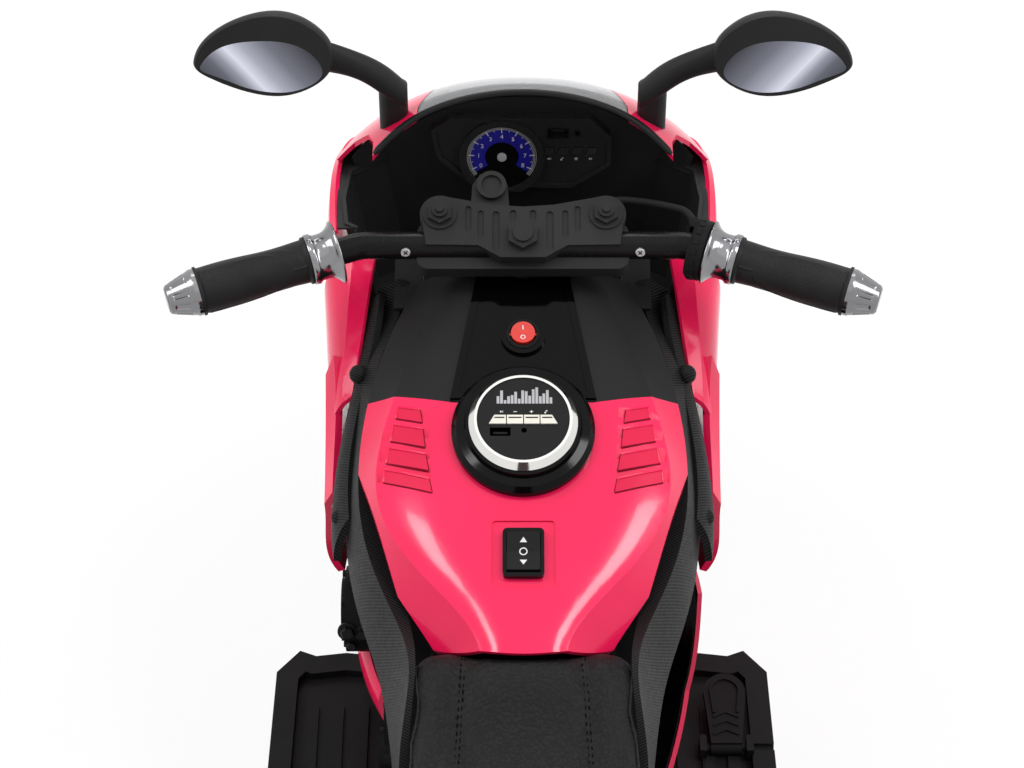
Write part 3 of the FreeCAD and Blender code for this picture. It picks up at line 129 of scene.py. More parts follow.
def paint(tree, shader, value, stops):
    """Base colour from (position, colour) stops along a value."""
    node = tree.nodes.new("ShaderNodeValToRGB")
    elements = node.color_ramp.elements
    while len(elements) < len(stops):
        elements.new(0.5)
    for element, (position, colour) in zip(elements, stops):
        element.position = position
        element.color = (*colour, 1.0)
    tree.links.new(value, node.inputs["Fac"])
    tree.links.new(node.outputs["Color"], shader.inputs["Base Color"])


def gloss(tree, shader, value, low, high):
    """Roughness between two values along a noise."""
    node = tree.nodes.new("ShaderNodeMapRange")
    preset(node, From_Min=0.3, From_Max=0.7, To_Min=low, To_Max=high)
    tree.links.new(value, node.inputs["Value"])
    tree.links.new(node.outputs["Result"], shader.inputs["Roughness"])


def relief(tree, shader, height, depth_mm):
    node = tree.nodes.new("ShaderNodeBump")
    preset(node, Strength=1.0, Distance=depth_mm * mm)
    tree.links.new(height, node.inputs["Height"])
    tree.links.new(node.outputs["Normal"], shader.inputs["Normal"])


# Surface finishes
drift_scale = 18.0


def finish(name, dark, light, rough, grain, bump, shine=0.5, **sockets):
    """A moulded or metal surface: broad colour drift, uneven gloss and a fine grain."""
    material, tree, shader, coords = blank(name)
    paint(tree, shader, noise(tree, coords, drift_scale, 4.0), [(0.3, dark), (0.7, light)])
    fine = noise(tree, coords, grain)
    gloss(tree, shader, fine, *rough)
    relief(tree, shader, fine, bump)
    preset(shader, Specular_IOR_Level=shine, **sockets)
    return material


def grey(value):
    return (value, value, value * 1.04)


pink = finish("pink_gloss", (0.80, 0.009, 0.078), (0.88, 0.013, 0.094), (0.12, 0.18), 260, 0.012,
              shine=0.25, Coat_Weight=0.2, Coat_Roughness=0.04)
# A darker copy of the pink for the louvre floors: painted shade in the recesses.
pink_painted_shade = finish("pink_painted_shade", (0.62, 0.006, 0.052), (0.69, 0.009, 0.063), (0.14, 0.20), 260, 0.012,
                    shine=0.2, Coat_Weight=0.15, Coat_Roughness=0.04)
# Dark strips along the louvres' rear and inner edges: painted shadow.
pink_shadow = finish("pink_shadow", (0.16, 0.002, 0.014), (0.20, 0.003, 0.018), (0.4, 0.5), 260, 0.012,
                     shine=0.05)
black = finish("black_moulded", grey(0.007), grey(0.011), (0.48, 0.62), 1500, 0.05, shine=0.08)
# A lighter copy of the moulded black: painted fill light for parts that sit in shade.
black_painted_fill = finish("black_painted_fill", grey(0.013), grey(0.019), (0.44, 0.58), 1500, 0.05, shine=0.14)
key_black = finish("key_black", grey(0.020), grey(0.028), (0.26, 0.36), 900, 0.02, shine=0.25)
black_gloss = finish("black_gloss", grey(0.003), grey(0.005), (0.06, 0.11), 300, 0.008, shine=0.14)
black_satin = finish("black_satin", grey(0.006), grey(0.010), (0.30, 0.42), 900, 0.03, shine=0.12)
rubber = finish("rubber", grey(0.007), grey(0.012), (0.62, 0.75), 2200, 0.06, shine=0.15)
tyre_plastic = finish("tyre_plastic", grey(0.009), grey(0.015), (0.55, 0.7), 700, 0.08, shine=0.15)
dark_chrome = finish("dark_chrome", grey(0.22), grey(0.29), (0.12, 0.20), 500, 0.01, Metallic=1.0)
chrome = finish("chrome", (0.80, 0.79, 0.76), (0.88, 0.87, 0.84), (0.05, 0.10), 400, 0.006, Metallic=1.0)
steel = finish("satin_steel", grey(0.42), grey(0.55), (0.26, 0.38), 1200, 0.02, Metallic=1.0)
painted_steel = finish("black_paint", grey(0.005), grey(0.008), (0.20, 0.30), 350, 0.01, shine=0.12)
red = finish("red_plastic", (0.60, 0.020, 0.010), (0.72, 0.030, 0.016), (0.14, 0.24), 600, 0.01,
             Coat_Weight=0.5, Coat_Roughness=0.05)
cream = finish("cream_keys", (0.62, 0.60, 0.52), (0.70, 0.68, 0.60), (0.30, 0.42), 900, 0.015)
white_print = finish("white_print", grey(0.62), grey(0.72), (0.4, 0.5), 900, 0.005)
silver_print = finish("silver_print", grey(0.34), grey(0.44), (0.3, 0.4), 900, 0.005)
blue_print = finish("blue_print", (0.010, 0.008, 0.24), (0.016, 0.012, 0.33), (0.3, 0.4), 700, 0.005)
battery_case = finish("battery_case", grey(0.06), grey(0.09), (0.4, 0.55), 500, 0.03)
thread = finish("thread", grey(0.001), grey(0.003), (0.6, 0.75), 3000, 0.08, shine=0.03)


def clear(name, tint, rough):
    """Clear or tinted plastic; the tint takes (position along Y in metres, colour) stops."""
    material, tree, shader, coords = blank(name)
    middle = 0.5
    place = sum_of(tree, axis(tree, coords, "Y"), 1.0, middle)
    drift = sum_of(tree, noise(tree, coords, 14.0), 0.01, place)
    paint(tree, shader, drift, [(y + middle, shade) for y, shade in tint])
    gloss(tree, shader, noise(tree, coords, 220), rough, rough + 0.04)
    relief(tree, shader, noise(tree, coords, 60), 0.01)
    preset(shader, Transmission_Weight=1.0, IOR=1.49)
    return material


smoked = clear("smoked_screen", [(0.15, (0.60, 0.61, 0.64)), (0.40, (0.66, 0.67, 0.70))], 0.02)
lamp_glass = clear("lamp_glass", [(-0.01, (0.72, 0.03, 0.02)), (0.01, (0.85, 0.86, 0.88))], 0.03)


def leather(name, dark, light):
    """Grained leather: small rounded cells broken up by pores."""
    material, tree, shader, coords = blank(name)
    cells = tree.nodes.new("ShaderNodeTexVoronoi")
    cells.feature = "SMOOTH_F1"
    preset(cells, Scale=420.0, Smoothness=0.35, Randomness=1.0)
    tree.links.new(coords, cells.inputs["Vector"])
    pores = noise(tree, coords, 1900.0)
    height = sum_of(tree, pores, 0.35, cells.outputs["Distance"])
    tone = sum_of(tree, noise(tree, coords, 26.0, 5.0), 0.25, height)
    paint(tree, shader, tone, [(0.25, light), (0.85, dark)])
    gloss(tree, shader, pores, 0.40, 0.56)
    relief(tree, shader, height, 0.5)
    preset(shader, Specular_IOR_Level=0.14)
    return material


seat_leather = leather("seat_leather", grey(0.003), grey(0.012))


def carbon(name, slant, pitch):
    """Moulded plastic with a fine slanted weave, mirrored left and right."""
    material, tree, shader, coords = blank(name)
    lean = sum_of(tree, math_of(tree, "ABSOLUTE", axis(tree, coords, "X")), -slant,
                  sum_of(tree, axis(tree, coords, "Z"), slant, axis(tree, coords, "Y")))
    weave = math_of(tree, "SINE", sum_of(tree, lean, 2 * math.pi / pitch, 0.0))
    level = sum_of(tree, weave, 0.5, 0.5)
    paint(tree, shader, level, [(0.2, grey(0.003)), (0.9, grey(0.022))])
    gloss(tree, shader, noise(tree, coords, 300), 0.46, 0.56)
    relief(tree, shader, level, 0.1)
    preset(shader, Specular_IOR_Level=0.08)
    return material


carbon_strip = carbon("carbon_strip", 0.55, 2.1 * mm)


def two_zone(name, mask_of, outside, inside):
    """Black plastic whose (tone, roughness) changes inside a mask."""
    material, tree, shader, coords = blank(name)
    mask = mask_of(tree, coords)
    tone = sum_of(tree, noise(tree, coords, drift_scale, 4.0), 0.12, mask)
    paint(tree, shader, tone, [(0.06, grey(outside[0])), (1.06, grey(inside[0]))])
    rough = sum_of(tree, mask, inside[1] - outside[1], outside[1])
    fine = noise(tree, coords, 900.0)
    tree.links.new(sum_of(tree, fine, 0.08, rough), shader.inputs["Roughness"])
    relief(tree, shader, fine, 0.01)
    preset(shader, Specular_IOR_Level=0.12)
    return material


tank_along = tank.to_3x3() @ Vector((0, 1, 0)) / mm
tank_out = tank.to_3x3() @ Vector((0, 0, 1)) / mm
strip_half, strip_at, strip_slope = 0.0285, 0.128, 0.1787
face_edge = 0.0187


def strip_mask(tree, coords):
    """1 on the strip that narrows forwards along the tank's front panel."""
    p = along(tree, coords, tank_along, (tank_origin * mm).dot(tank_along))
    half = sum_of(tree, p, -strip_slope, strip_half + strip_slope * strip_at)
    side = math_of(tree, "ABSOLUTE", axis(tree, coords, "X"))
    return step_of(tree, sum_of(tree, side, -1.0, half), 3000.0)


def face_mask(tree, coords):
    """1 on the music panel's face."""
    n = along(tree, coords, tank_out, (tank_origin * mm).dot(tank_out) + face_edge)
    return step_of(tree, n, 5000.0)


front_panel_black = two_zone("front_panel_black", strip_mask, (0.012, 0.42), (0.001, 0.04))
music_black = two_zone("music_black", face_mask, (0.002, 0.04), (0.009, 0.40))


def mirror_silver(name, middle, start, span):
    """Silvered glass whose colour holds a painted reflection: a slanted pale streak that fades to dark at
    both ends.
    """
    material, tree, shader, coords = blank(name)
    turn = math.radians(mirror_tilt)
    height = along(tree, coords, (0.0, math.cos(turn), math.sin(turn)), middle)
    across = math_of(tree, "ABSOLUTE", axis(tree, coords, "X"))
    place = sum_of(tree, across, 0.753, sum_of(tree, height, -0.658, -start))
    share = sum_of(tree, place, 1 / span, sum_of(tree, noise(tree, coords, 30.0), 0.03, -0.015))
    # Painted reflection: the stops darken from the pale streak towards both ends.
    paint(tree, shader, share, [
        (0.0, (0.055, 0.056, 0.066)), (0.3, (0.20, 0.205, 0.25)), (0.5, (0.44, 0.45, 0.54)),
        (0.645, (0.80, 0.81, 0.93)), (0.67, (0.66, 0.67, 0.77)), (0.75, (0.33, 0.34, 0.41)),
        (0.85, (0.15, 0.155, 0.19)), (1.0, (0.085, 0.088, 0.105))])
    gloss(tree, shader, noise(tree, coords, 60.0), 0.03, 0.07)
    preset(shader, Metallic=1.0)
    return material


# The mirrors' colour carries a painted reflection.
mirror = mirror_silver("mirror_glass", 0.639, 0.100, 0.062)


# Mesh helpers
def join_rings(rings, loop=False):
    """Points and faces of a skin through rings of equal length, capped or closed to a loop."""
    count = len(rings[0])
    points = [p for ring in rings for p in ring]
    faces = []
    for i in range(len(rings) if loop else len(rings) - 1):
        a, b = i * count, (i + 1) % len(rings) * count
        for j in range(count):
            k = (j + 1) % count
            faces.append((a + j, a + k, b + k, b + j))
    if not loop:
        faces.append(tuple(range(count))[::-1])
        faces.append(tuple(range(len(points) - count, len(points))))
    return points, faces


def soften(obj, width_mm):
    bevel = obj.modifiers.new("edges", "BEVEL")
    bevel.width = width_mm * mm
    bevel.segments = 2
    bevel.limit_method = "ANGLE"
    bevel.angle_limit = math.radians(40)
    bevel.harden_normals = True


def piece(name, shapes, place, material, body, angle=35.0, bevel=0.0):
    """One named mesh from (points, faces) shapes, riding on a body."""
    points = []
    faces = []
    for shape_points, shape_faces in shapes:
        start = len(points)
        points += [place @ Vector(p) for p in shape_points]
        faces += [tuple(start + i for i in f) for f in shape_faces]
    mesh = bpy.data.meshes.new(name)
    mesh.from_pydata(points, [], faces)
    work = bmesh.new()
    work.from_mesh(mesh)
    bmesh.ops.recalc_face_normals(work, faces=work.faces)
    work.to_mesh(mesh)
    work.free()
    mesh.shade_smooth()
    mesh.set_sharp_from_angle(angle=math.radians(angle))
    mesh.materials.append(material)
    obj = bpy.data.objects.new(name, mesh)
    scene.collection.objects.link(obj)
    if bevel:
        soften(obj, bevel)
    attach(obj, body)
    return obj


def rectangle(x0, x1, y0, y1):
    return [(x0, y0), (x1, y0), (x1, y1), (x0, y1)]


def slab(outline, low, high):
    """An extruded outline in the XY plane."""
    return join_rings([[(x, y, z) for x, y in outline] for z in (low, high)])


def turns(steps):
    """Angles of one full turn."""
    return [2 * math.pi * j / steps for j in range(steps)]


def around(centre, first, second, turn, radius):
    """A point on a circle spanned by two directions."""
    return centre + (first * math.cos(turn) + second * math.sin(turn)) * radius


def lathe(profile, start, way, steps, loop=False):
    """(radius, distance) points turned round an axis."""
    way = Vector(way).normalized()
    side = way.orthogonal().normalized()
    up = way.cross(side)
    rings = []
    for radius, distance in profile:
        centre = Vector(start) + way * distance
        rings.append([around(centre, side, up, turn, max(radius, 0.01)) for turn in turns(steps)])
    return join_rings(rings, loop)


def tube(path, radius, sides, flat=1.0):
    """A round or flattened bead along points, with narrowed ends."""
    path = [Vector(p) for p in path]
    rings = []
    for i, p in enumerate(path):
        ahead = path[min(i + 1, len(path) - 1)] - path[max(i - 1, 0)]
        side = ahead.cross(Vector((0, 0, 1))).normalized()
        over = side.cross(ahead).normalized()
        share = 0.55 if i in (0, len(path) - 1) else 1.0
        rings.append([around(p, side, over * flat, turn, radius * share) for turn in turns(sides)])
    return join_rings(rings)


def smooth_path(points, count):
    """Evenly indexed points on a Catmull-Rom curve."""
    pts = [Vector(p) for p in points]
    pts = [2 * pts[0] - pts[1]] + pts + [2 * pts[-1] - pts[-2]]
    spans = len(pts) - 3
    result = []
    for i in range(count):
        at = i * spans / (count - 1)
        k = min(int(at), spans - 1)
        t = at - k
        a, b, c, d = pts[k:k + 4]
        result.append(0.5 * (2 * b + (c - a) * t + (2 * a - 5 * b + 4 * c - d) * t * t
                             + (3 * b - a - 3 * c + d) * t * t * t))
    return result


def arc_band(centre, inner, outer, start, end, low, high, steps):
    """A flat ring sector standing on the XY plane."""
    rings = []
    for i in range(steps + 1):
        turn = math.radians(start + (end - start) * i / steps)
        rings.append([(centre[0] + r * math.cos(turn), centre[1] + r * math.sin(turn), z)
                      for r, z in ((inner, low), (outer, low), (outer, high), (inner, high))])
    return join_rings(rings)


def surface(name):
    """A tree for dropping points on a node or piece, in metres."""
    mesh = (nodes[name] if isinstance(name, str) else name).data
    return BVHTree.FromPolygons([v.co for v in mesh.vertices], [tuple(p.vertices) for p in mesh.polygons])


def drop(tree, place, x, y):
    """Local height of a surface under (x, y), or None."""
    start = 60.0
    origin = place @ Vector((x, y, start))
    way = (place @ Vector((x, y, start - 1)) - origin).normalized()
    hit = tree.ray_cast(origin, way)[0]
    return None if hit is None else (place.inverted() @ hit).z


def letters(text, size, centre, low, high):
    """Extruded figures as one shape."""
    curve = bpy.data.curves.new("figures", "FONT")
    curve.body = text
    curve.size = size
    curve.align_x = "CENTER"
    curve.align_y = "CENTER"
    curve.resolution_u = 3
    obj = bpy.data.objects.new("figures", curve)
    mesh = bpy.data.meshes.new_from_object(obj)
    work = bmesh.new()
    work.from_mesh(mesh)
    bmesh.ops.remove_doubles(work, verts=work.verts, dist=0.001 * size)
    made = bmesh.ops.extrude_face_region(work, geom=work.faces[:])
    top = [v for v in made["geom"] if isinstance(v, bmesh.types.BMVert)]
    bmesh.ops.translate(work, verts=top, vec=(0, 0, high - low))
    work.verts.index_update()
    points = [(v.co.x + centre[0], v.co.y + centre[1], v.co.z + low) for v in work.verts]
    faces = [tuple(v.index for v in f.verts) for f in work.faces]
    work.free()
    bpy.data.objects.remove(obj)
    bpy.data.curves.remove(curve)
    bpy.data.meshes.remove(mesh)
    return points, faces


# Finishes of the nodes that stay
finishes = [
    (pink, ["side_fairing_left", "side_fairing_right", "nose_fairing", "tank_cover", "belly_fairings",
            "tail_cowl", "front_mudguard"]),
    # These parts take the lighter black, painted fill light.
    (black_painted_fill, ["cockpit_liner", "dash_housing", "top_clamp", "mirror_left", "mirror_right"]),
    (black, ["chassis_left", "chassis_right", "engine_cover_left", "engine_cover_right", "footboard_left",
             "footboard_right", "throttle_housing", "foot_pedal"]),
    (black_gloss, ["switch_bodies", "dash_dial"]),
    (front_panel_black, ["tank_front_panel"]),
    (music_black, ["music_panel"]),
    (tyre_plastic, ["stabiliser_wheel_left", "stabiliser_wheel_right"]),
    (black_satin, ["front_fork", "steering_stem", "direction_rocker"]),
    (carbon_strip, ["side_panel_left", "side_panel_right"]),
    (rubber, ["throttle_cable"]),
    (steel, ["screws", "rear_axle", "front_axle", "head_bearing"]),
    (painted_steel, ["handlebar", "stabiliser_arms"]),
    (chrome, ["music_ring"]),
    (mirror, ["mirror_glasses"]),
    (smoked, ["windshield"]),
    (lamp_glass, ["lamp_lenses"]),
    (red, ["power_rocker"]),
    (cream, ["music_button_%d" % i for i in range(1, 5)]),
    (key_black, ["dash_button_%d" % i for i in range(1, 5)]),
    (battery_case, ["battery", "drive_unit"]),
]
for material, names in finishes:
    for name in names:
        nodes[name].data.materials.clear()
        nodes[name].data.materials.append(material)


# Handlebar grips, flanges and ends
knee = Vector((105, -2, -11))
sweep = math.radians(18.5)
rise = math.radians(3)
grip_start, grip_end, bar_end = 36.2, 110.2, 131.4
pad_turn = math.radians(38)
pad_half = math.radians(66)


def bar_axes(side):
    """Start, way, up and rearward direction of one bar end in the steering frame."""
    level = math.cos(rise)
    way = Vector((side * math.cos(sweep) * level, -math.sin(sweep) * level, math.sin(rise)))
    up = (Vector((0, 0, 1)) - way * way.z).normalized()
    rear = way.cross(up) * side
    return Vector((side * knee.x, knee.y, knee.z)), way, up, rear


def bump_at(value, centre, width):
    """A smooth hump of height 1."""
    return math.exp(-((value - centre) / width) ** 2)


def eased(value, low, high):
    """A smooth rise from 0 to 1 between two values."""
    t = min(1.0, max(0.0, (value - low) / (high - low)))
    return t * t * (3 - 2 * t)


def turned_skin(side, stations, steps, radius):
    """Points round the bar: radius(station, turn) in millimetres."""
    start, way, up, rear = bar_axes(side)
    return join_rings([[around(start + way * s, up, rear, turn, radius(s, turn)) for turn in turns(steps)]
                       for s in stations])


def pad_edge(t, start):
    """Half width of the grained pad at a share of the grip's length."""
    nose = 0.33
    if t < start:
        return 0.0
    if t > start + nose:
        return 1.0 - 0.12 * (t - start - nose)
    return math.sqrt(max(0.0, 1 - ((start + nose - t) / nose) ** 2))


def grip_relief(s, turn):
    """Radius of the grip and how far the point lies in the grained pad."""
    t = (s - grip_start) / (grip_end - grip_start)
    radius = 14.6 - 1.0 * bump_at(t, 0.30, 0.24) + 0.5 * bump_at(t, 0.78, 0.25)
    off = abs((turn - pad_turn + math.pi) % (2 * math.pi) - math.pi) / pad_half
    inner = pad_edge(t, 0.17) - off
    outer = pad_edge(t, 0.06) * 1.22 - off
    pad = eased(inner, 0.02, 0.08)
    ends = eased(t, 0.03, 0.05) * (1 - eased(t, 0.95, 0.97))
    lip = 0.55 * bump_at(inner, 0.0, 0.035) + 0.35 * bump_at(outer, 0.0, 0.03)
    lip += 0.4 * eased(outer, 0.0, 0.06)
    radius += ends * lip
    bead = 1 - eased(t, 0.02, 0.032) + eased(t, 0.966, 0.978)
    return radius + 1.35 * bead, pad * ends


def make_grip(name, side, body, node):
    steps, count = 132, 96
    stations = [grip_start + (grip_end - grip_start) * i / (count - 1) for i in range(count)]
    skin = turned_skin(side, stations, steps, lambda s, turn: grip_relief(s, turn)[0])
    obj = piece(name, [skin], steer, grip_rubber, body, angle=60)
    pad = obj.data.attributes.new("pad", "FLOAT", "POINT")
    shares = [grip_relief(s, turn)[1] for s in stations for turn in turns(steps)]
    for point, share in zip(pad.data, shares):
        point.value = share
    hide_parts(node)


flange_profile = [(9.5, 16.0), (20.0, 16.0), (20.8, 16.4), (21.0, 17.0), (20.6, 17.8), (19.0, 18.8),
                  (17.2, 20.4), (15.9, 22.4), (15.2, 24.6), (15.0, 27.0), (15.1, 29.5), (15.5, 31.0),
                  (16.4, 31.8), (16.7, 32.4), (16.7, 35.2), (16.3, 35.9), (9.5, 36.0)]


def cap_radius(s, turn):
    """Bar end: a ring, then a tapered cone with sunk flutes."""
    t = (s - grip_end) / (bar_end - grip_end)
    if t < 0.2:
        return 15.5 - 0.5 * eased(t, 0.14, 0.2)
    radius = 14.8 - 5.6 * (t - 0.2) / 0.8
    if t > 0.94:
        radius -= 1.2 * eased(t, 0.94, 1.0)
    spoke = abs((turn * 9 / (2 * math.pi)) % 1.0 - 0.5)
    flute = eased(0.22 - spoke, 0.0, 0.05) * eased(t, 0.30, 0.36) * (1 - eased(t, 0.76, 0.82))
    return radius - 0.9 * flute


def make_trim(name, side, body, node):
    start, way, _, _ = bar_axes(side)
    cap_start = grip_end + 0.2
    cap_stations = [cap_start + (bar_end - cap_start) * i / 40 for i in range(41)]
    flange = piece(name + "_flange", [lathe(flange_profile, start, way, 96)], steer, dark_chrome, body,
                   angle=50)
    piece(name + "_end", [turned_skin(side, cap_stations, 108, cap_radius)], steer, dark_chrome, body,
          angle=40)
    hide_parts(node)


def rubber_grain(name):
    """Rubber whose pads, marked on the mesh, carry a pebble grain."""
    material, tree, shader, coords = blank(name)
    paint(tree, shader, noise(tree, coords, 40.0, 4.0), [(0.3, grey(0.010)), (0.7, grey(0.016))])
    pad = tree.nodes.new("ShaderNodeAttribute")
    pad.attribute_name = "pad"
    pebbles = noise(tree, coords, 1300.0, 1.0)
    gloss(tree, shader, pebbles, 0.42, 0.56)
    relief(tree, shader, math_of(tree, "MULTIPLY", pebbles, pad.outputs["Fac"]), 0.45)
    preset(shader, Specular_IOR_Level=0.14)
    return material


grip_rubber = rubber_grain("grip_rubber")
make_grip("grip_cover_right", 1, "throttle", "grip_right")
make_grip("grip_cover_left", -1, "steering", "grip_left")
make_trim("bar_trim_right", 1, "throttle", "grip_trim_right")
make_trim("bar_trim_left", -1, "steering", "grip_trim_left")


def collar_ribs():
    """Raised keys round the throttle collar."""
    start, way, up, rear = bar_axes(1)
    foot, top = 19.4, 20.7
    shapes = []
    for i in range(13):
        middle = -110 + 20 * i
        rings = []
        for s, high in ((6.6, foot), (7.2, top), (10.6, top), (11.2, foot)):
            rings.append([around(start + way * s, up, rear, math.radians(middle + k), level)
                          for k, level in ((-6.5, foot), (-5.2, high), (5.2, high), (6.5, foot))])
        shapes.append(join_rings(rings))
    return shapes


piece("throttle_collar_keys", collar_ribs(), steer, black, "steering")


# Wheels with moulded tread
rim_radius = wheel_radius - 40
shoulder = wheel_radius - 18
lugs, groove = 40, 3.2
turning = (1, 0, 0)


def tyre_shape(hub):
    """Tyre skin with slanted tread grooves; columns follow the grooves."""
    half = wheel_half
    profile = [(rim_radius, half - 9, 0.0), (rim_radius + 2, half - 5, 0.0), (rim_radius + 11, half, 0.0),
               (shoulder - 6, half, 0.0), (shoulder - 2, half - 0.6, 0.0)]
    rows = 7
    for i in range(rows):
        across = 1 - i / (rows - 1)
        lift = (wheel_radius - shoulder) * (1 - across ** 2)
        profile.append((shoulder + lift, across * (half - 1.5), 1.0 if i > 0 else 0.4))
    profile += [(r, -x, sunk) for r, x, sunk in profile[-2::-1]]
    rings = []
    for r, x, sunk in profile:
        lean = 1.1 * abs(x) / half
        ring = []
        for i in range(lugs):
            for share, low in ((0.0, 0), (0.62, 0), (0.68, 1), (0.94, 1)):
                turn = 2 * math.pi * (i + share + lean) / lugs
                level = r - groove * low * sunk
                ring.append((hub.x + x, hub.y + level * math.cos(turn), hub.z + level * math.sin(turn)))
        rings.append(ring)
    return join_rings(rings, loop=True)


def rim_shapes(hub, hub_half):
    """Hub, five spokes and rim bed of a moulded wheel."""
    barrel = [(6.6, -hub_half), (15, -hub_half), (16, -hub_half + 1.2), (19.5, -10), (19.5, 10),
              (16, hub_half - 1.2), (15, hub_half), (6.6, hub_half)]
    edge = wheel_half - 9
    bed = [(rim_radius - 9, -8), (rim_radius - 4, -edge), (rim_radius, 0.5 - edge),
           (rim_radius + 1.5, -edge - 1), (rim_radius + 1.5, edge + 1), (rim_radius, edge - 0.5),
           (rim_radius - 4, edge), (rim_radius - 9, 8)]
    shapes = [lathe(barrel, hub, turning, 48), lathe(bed, hub, turning, 96, loop=True)]
    corners = [(-1, -0.55), (-0.55, -1), (0.55, -1), (1, -0.55),
               (1, 0.55), (0.55, 1), (-0.55, 1), (-1, 0.55)]
    sizes = [(16, 13, 9), (26, 9.5, 8), (46, 8.5, 7), (66, 11, 8), (rim_radius - 5, 17, 9)]
    for i in range(5):
        turn = math.radians(72 * i + 54)
        out = Vector((0, math.cos(turn), math.sin(turn)))
        side = Vector((0, -math.sin(turn), math.cos(turn)))
        rings = []
        for r, wide, thick in sizes:
            middle = hub + out * r
            rings.append([middle + side * (a * wide) + Vector((b * thick, 0, 0)) for a, b in corners])
        shapes.append(join_rings(rings))
    return shapes


def make_wheel(name, hub, hub_half, node):
    tyre = piece(name + "_tyre", [tyre_shape(hub)], plain, tyre_plastic, node, angle=28)
    piece(name + "_rim", rim_shapes(hub, hub_half), plain, black_satin, node, angle=30)
    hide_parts(node)


make_wheel("front", front_hub, 38.0, "front_wheel")
make_wheel("rear", rear_hub, 35.0, "rear_wheel")


# Dial, keys and sockets of the dash
dial = (-14.0, -2.0)


def dial_angle(figure):
    """Degrees of a figure on the dial, from 0 to 8."""
    return 205.0 - 28.75 * figure


def spoke(centre, inner, outer, degrees, width, low, high):
    """A flat bar that points away from a centre."""
    turn = math.radians(degrees)
    out = (math.cos(turn), math.sin(turn))
    side = (-out[1] * width / 2, out[0] * width / 2)
    outline = [(centre[0] + r * out[0] + k * side[0], centre[1] + r * out[1] + k * side[1])
               for r, k in ((inner, 1), (inner, -1), (outer, -1), (outer, 1))]
    return slab(outline, low, high)


dial_low, dial_high = -1.25, -1.0
piece("dial_blue", [arc_band(dial, 11.4, 20.9, -34, 214, dial_low, dial_high, 72)], dash, blue_print, "body")
piece("dial_arcs", [arc_band(dial, r, r + 0.55, -38, 218, dial_low, dial_high + 0.12, 84)
                    for r in (21.2, 22.2, 23.2)], dash, silver_print, "body")
marks = [spoke(dial, 18.7, 22.6, dial_angle(i), 0.62, dial_low, dial_high + 0.25) for i in range(9)]
marks += [spoke(dial, 19.9, 20.9, dial_angle(i + 0.5), 0.4, dial_low, dial_high + 0.25) for i in range(8)]
for i in range(9):
    turn = math.radians(dial_angle(i))
    at = (dial[0] + 15.7 * math.cos(turn), dial[1] + 15.7 * math.sin(turn))
    marks.append(letters(str(i), 4.4, at, dial_low, dial_high + 0.2))
piece("dial_marks", marks, dash, white_print, "body")
piece("dial_cap", [lathe([(0.1, -1.2), (3.2, -1.2), (3.2, -0.1), (2.8, 0.3), (0.1, 0.35)],
                         (dial[0], dial[1], 0), (0, 0, 1), 40)], dash, silver_print, "body")


def frame_band(x0, x1, y0, y1, wide, low, high):
    """A rectangular bezel round an opening."""
    inner = rectangle(x0, x1, y0, y1)
    outer = rectangle(x0 - wide, x1 + wide, y0 - wide, y1 + wide)
    rings = [[(x, y, z) for x, y in outline]
             for outline, z in ((inner, low), (outer, low), (outer, high - 0.15), (inner, high))]
    return join_rings(rings, loop=True)


def ring_band(x, y, inner, outer, low, high):
    """A round bezel."""
    profile = [(inner, low), (outer, low), (outer, high - 0.2), (inner, high)]
    return lathe(profile, (x, y, 0), (0, 0, 1), 32, loop=True)


piece("dash_socket_rims", [frame_band(17.5, 30.5, 13.4, 19.4, 0.9, -1.6, -0.7),
                           ring_band(37.2, 16.4, 1.85, 2.9, -1.6, -0.8)], dash, black_satin, "body")


def usb_tongue(x, y, face):
    """Contact tongue inside a socket, clear of its walls."""
    return slab(rectangle(x - 4.6, x + 4.6, y - 0.2, y + 1.4), face - 9.8, face - 2.5)


face_level = 19.0
piece("dash_socket_tongue", [usb_tongue(24.0, 16.2, -1.5)], dash, key_black, "body",
      bevel=0.15)
piece("music_socket_tongue", [usb_tongue(-14.5, -9.2, face_level)], tank, black_satin, "body",
      bevel=0.15)


def icon(kind, x, y, low, high):
    """Small generic signs: play, less, more, tune, horn and lamp."""
    def flat(outline, top=high):
        return slab([(x + a, y + b) for a, b in outline], low, top)

    if kind == "play":
        return [flat([(-1.0, -0.8), (0.3, 0), (-1.0, 0.8)]), flat(rectangle(0.5, 0.8, -0.8, 0.8))]
    if kind == "less":
        return [flat(rectangle(-1.1, 1.1, -0.2, 0.2))]
    if kind == "more":
        return icon("less", x, y, low, high) + [flat(rectangle(-0.2, 0.2, -1.0, 1.0), high + 0.02)]
    if kind == "tune":
        return [arc_band((x - 0.7, y - 0.7), 0.01, 0.55, 0, 360, low, high, 16),
                flat(rectangle(-0.35, -0.1, -0.7, 1.1)),
                flat([(-0.3, 0.7), (0.9, 0.3), (0.9, 0.7), (-0.3, 1.1)])]
    if kind == "horn":
        return [flat([(-1.2, -0.3), (-0.5, -0.3), (0.5, -0.9), (0.5, 0.9), (-0.5, 0.3), (-1.2, 0.3)]),
                arc_band((x + 0.3, y), 0.9, 1.15, -40, 40, low, high, 8)]
    return [arc_band((x, y), 0.01, 0.6, 0, 360, low, high, 16)] + [
        spoke((x, y), 0.85, 1.3, 45 * k, 0.25, low, high) for k in range(8)]


dash_signs = []
for kind, x in zip(("horn", "tune", "lamp", "play"), (18.0, 27.0, 36.4, 46.2)):
    dash_signs += icon(kind, x, -3.6, -1.55, -1.38)
piece("dash_signs", dash_signs, dash, white_print, "body")


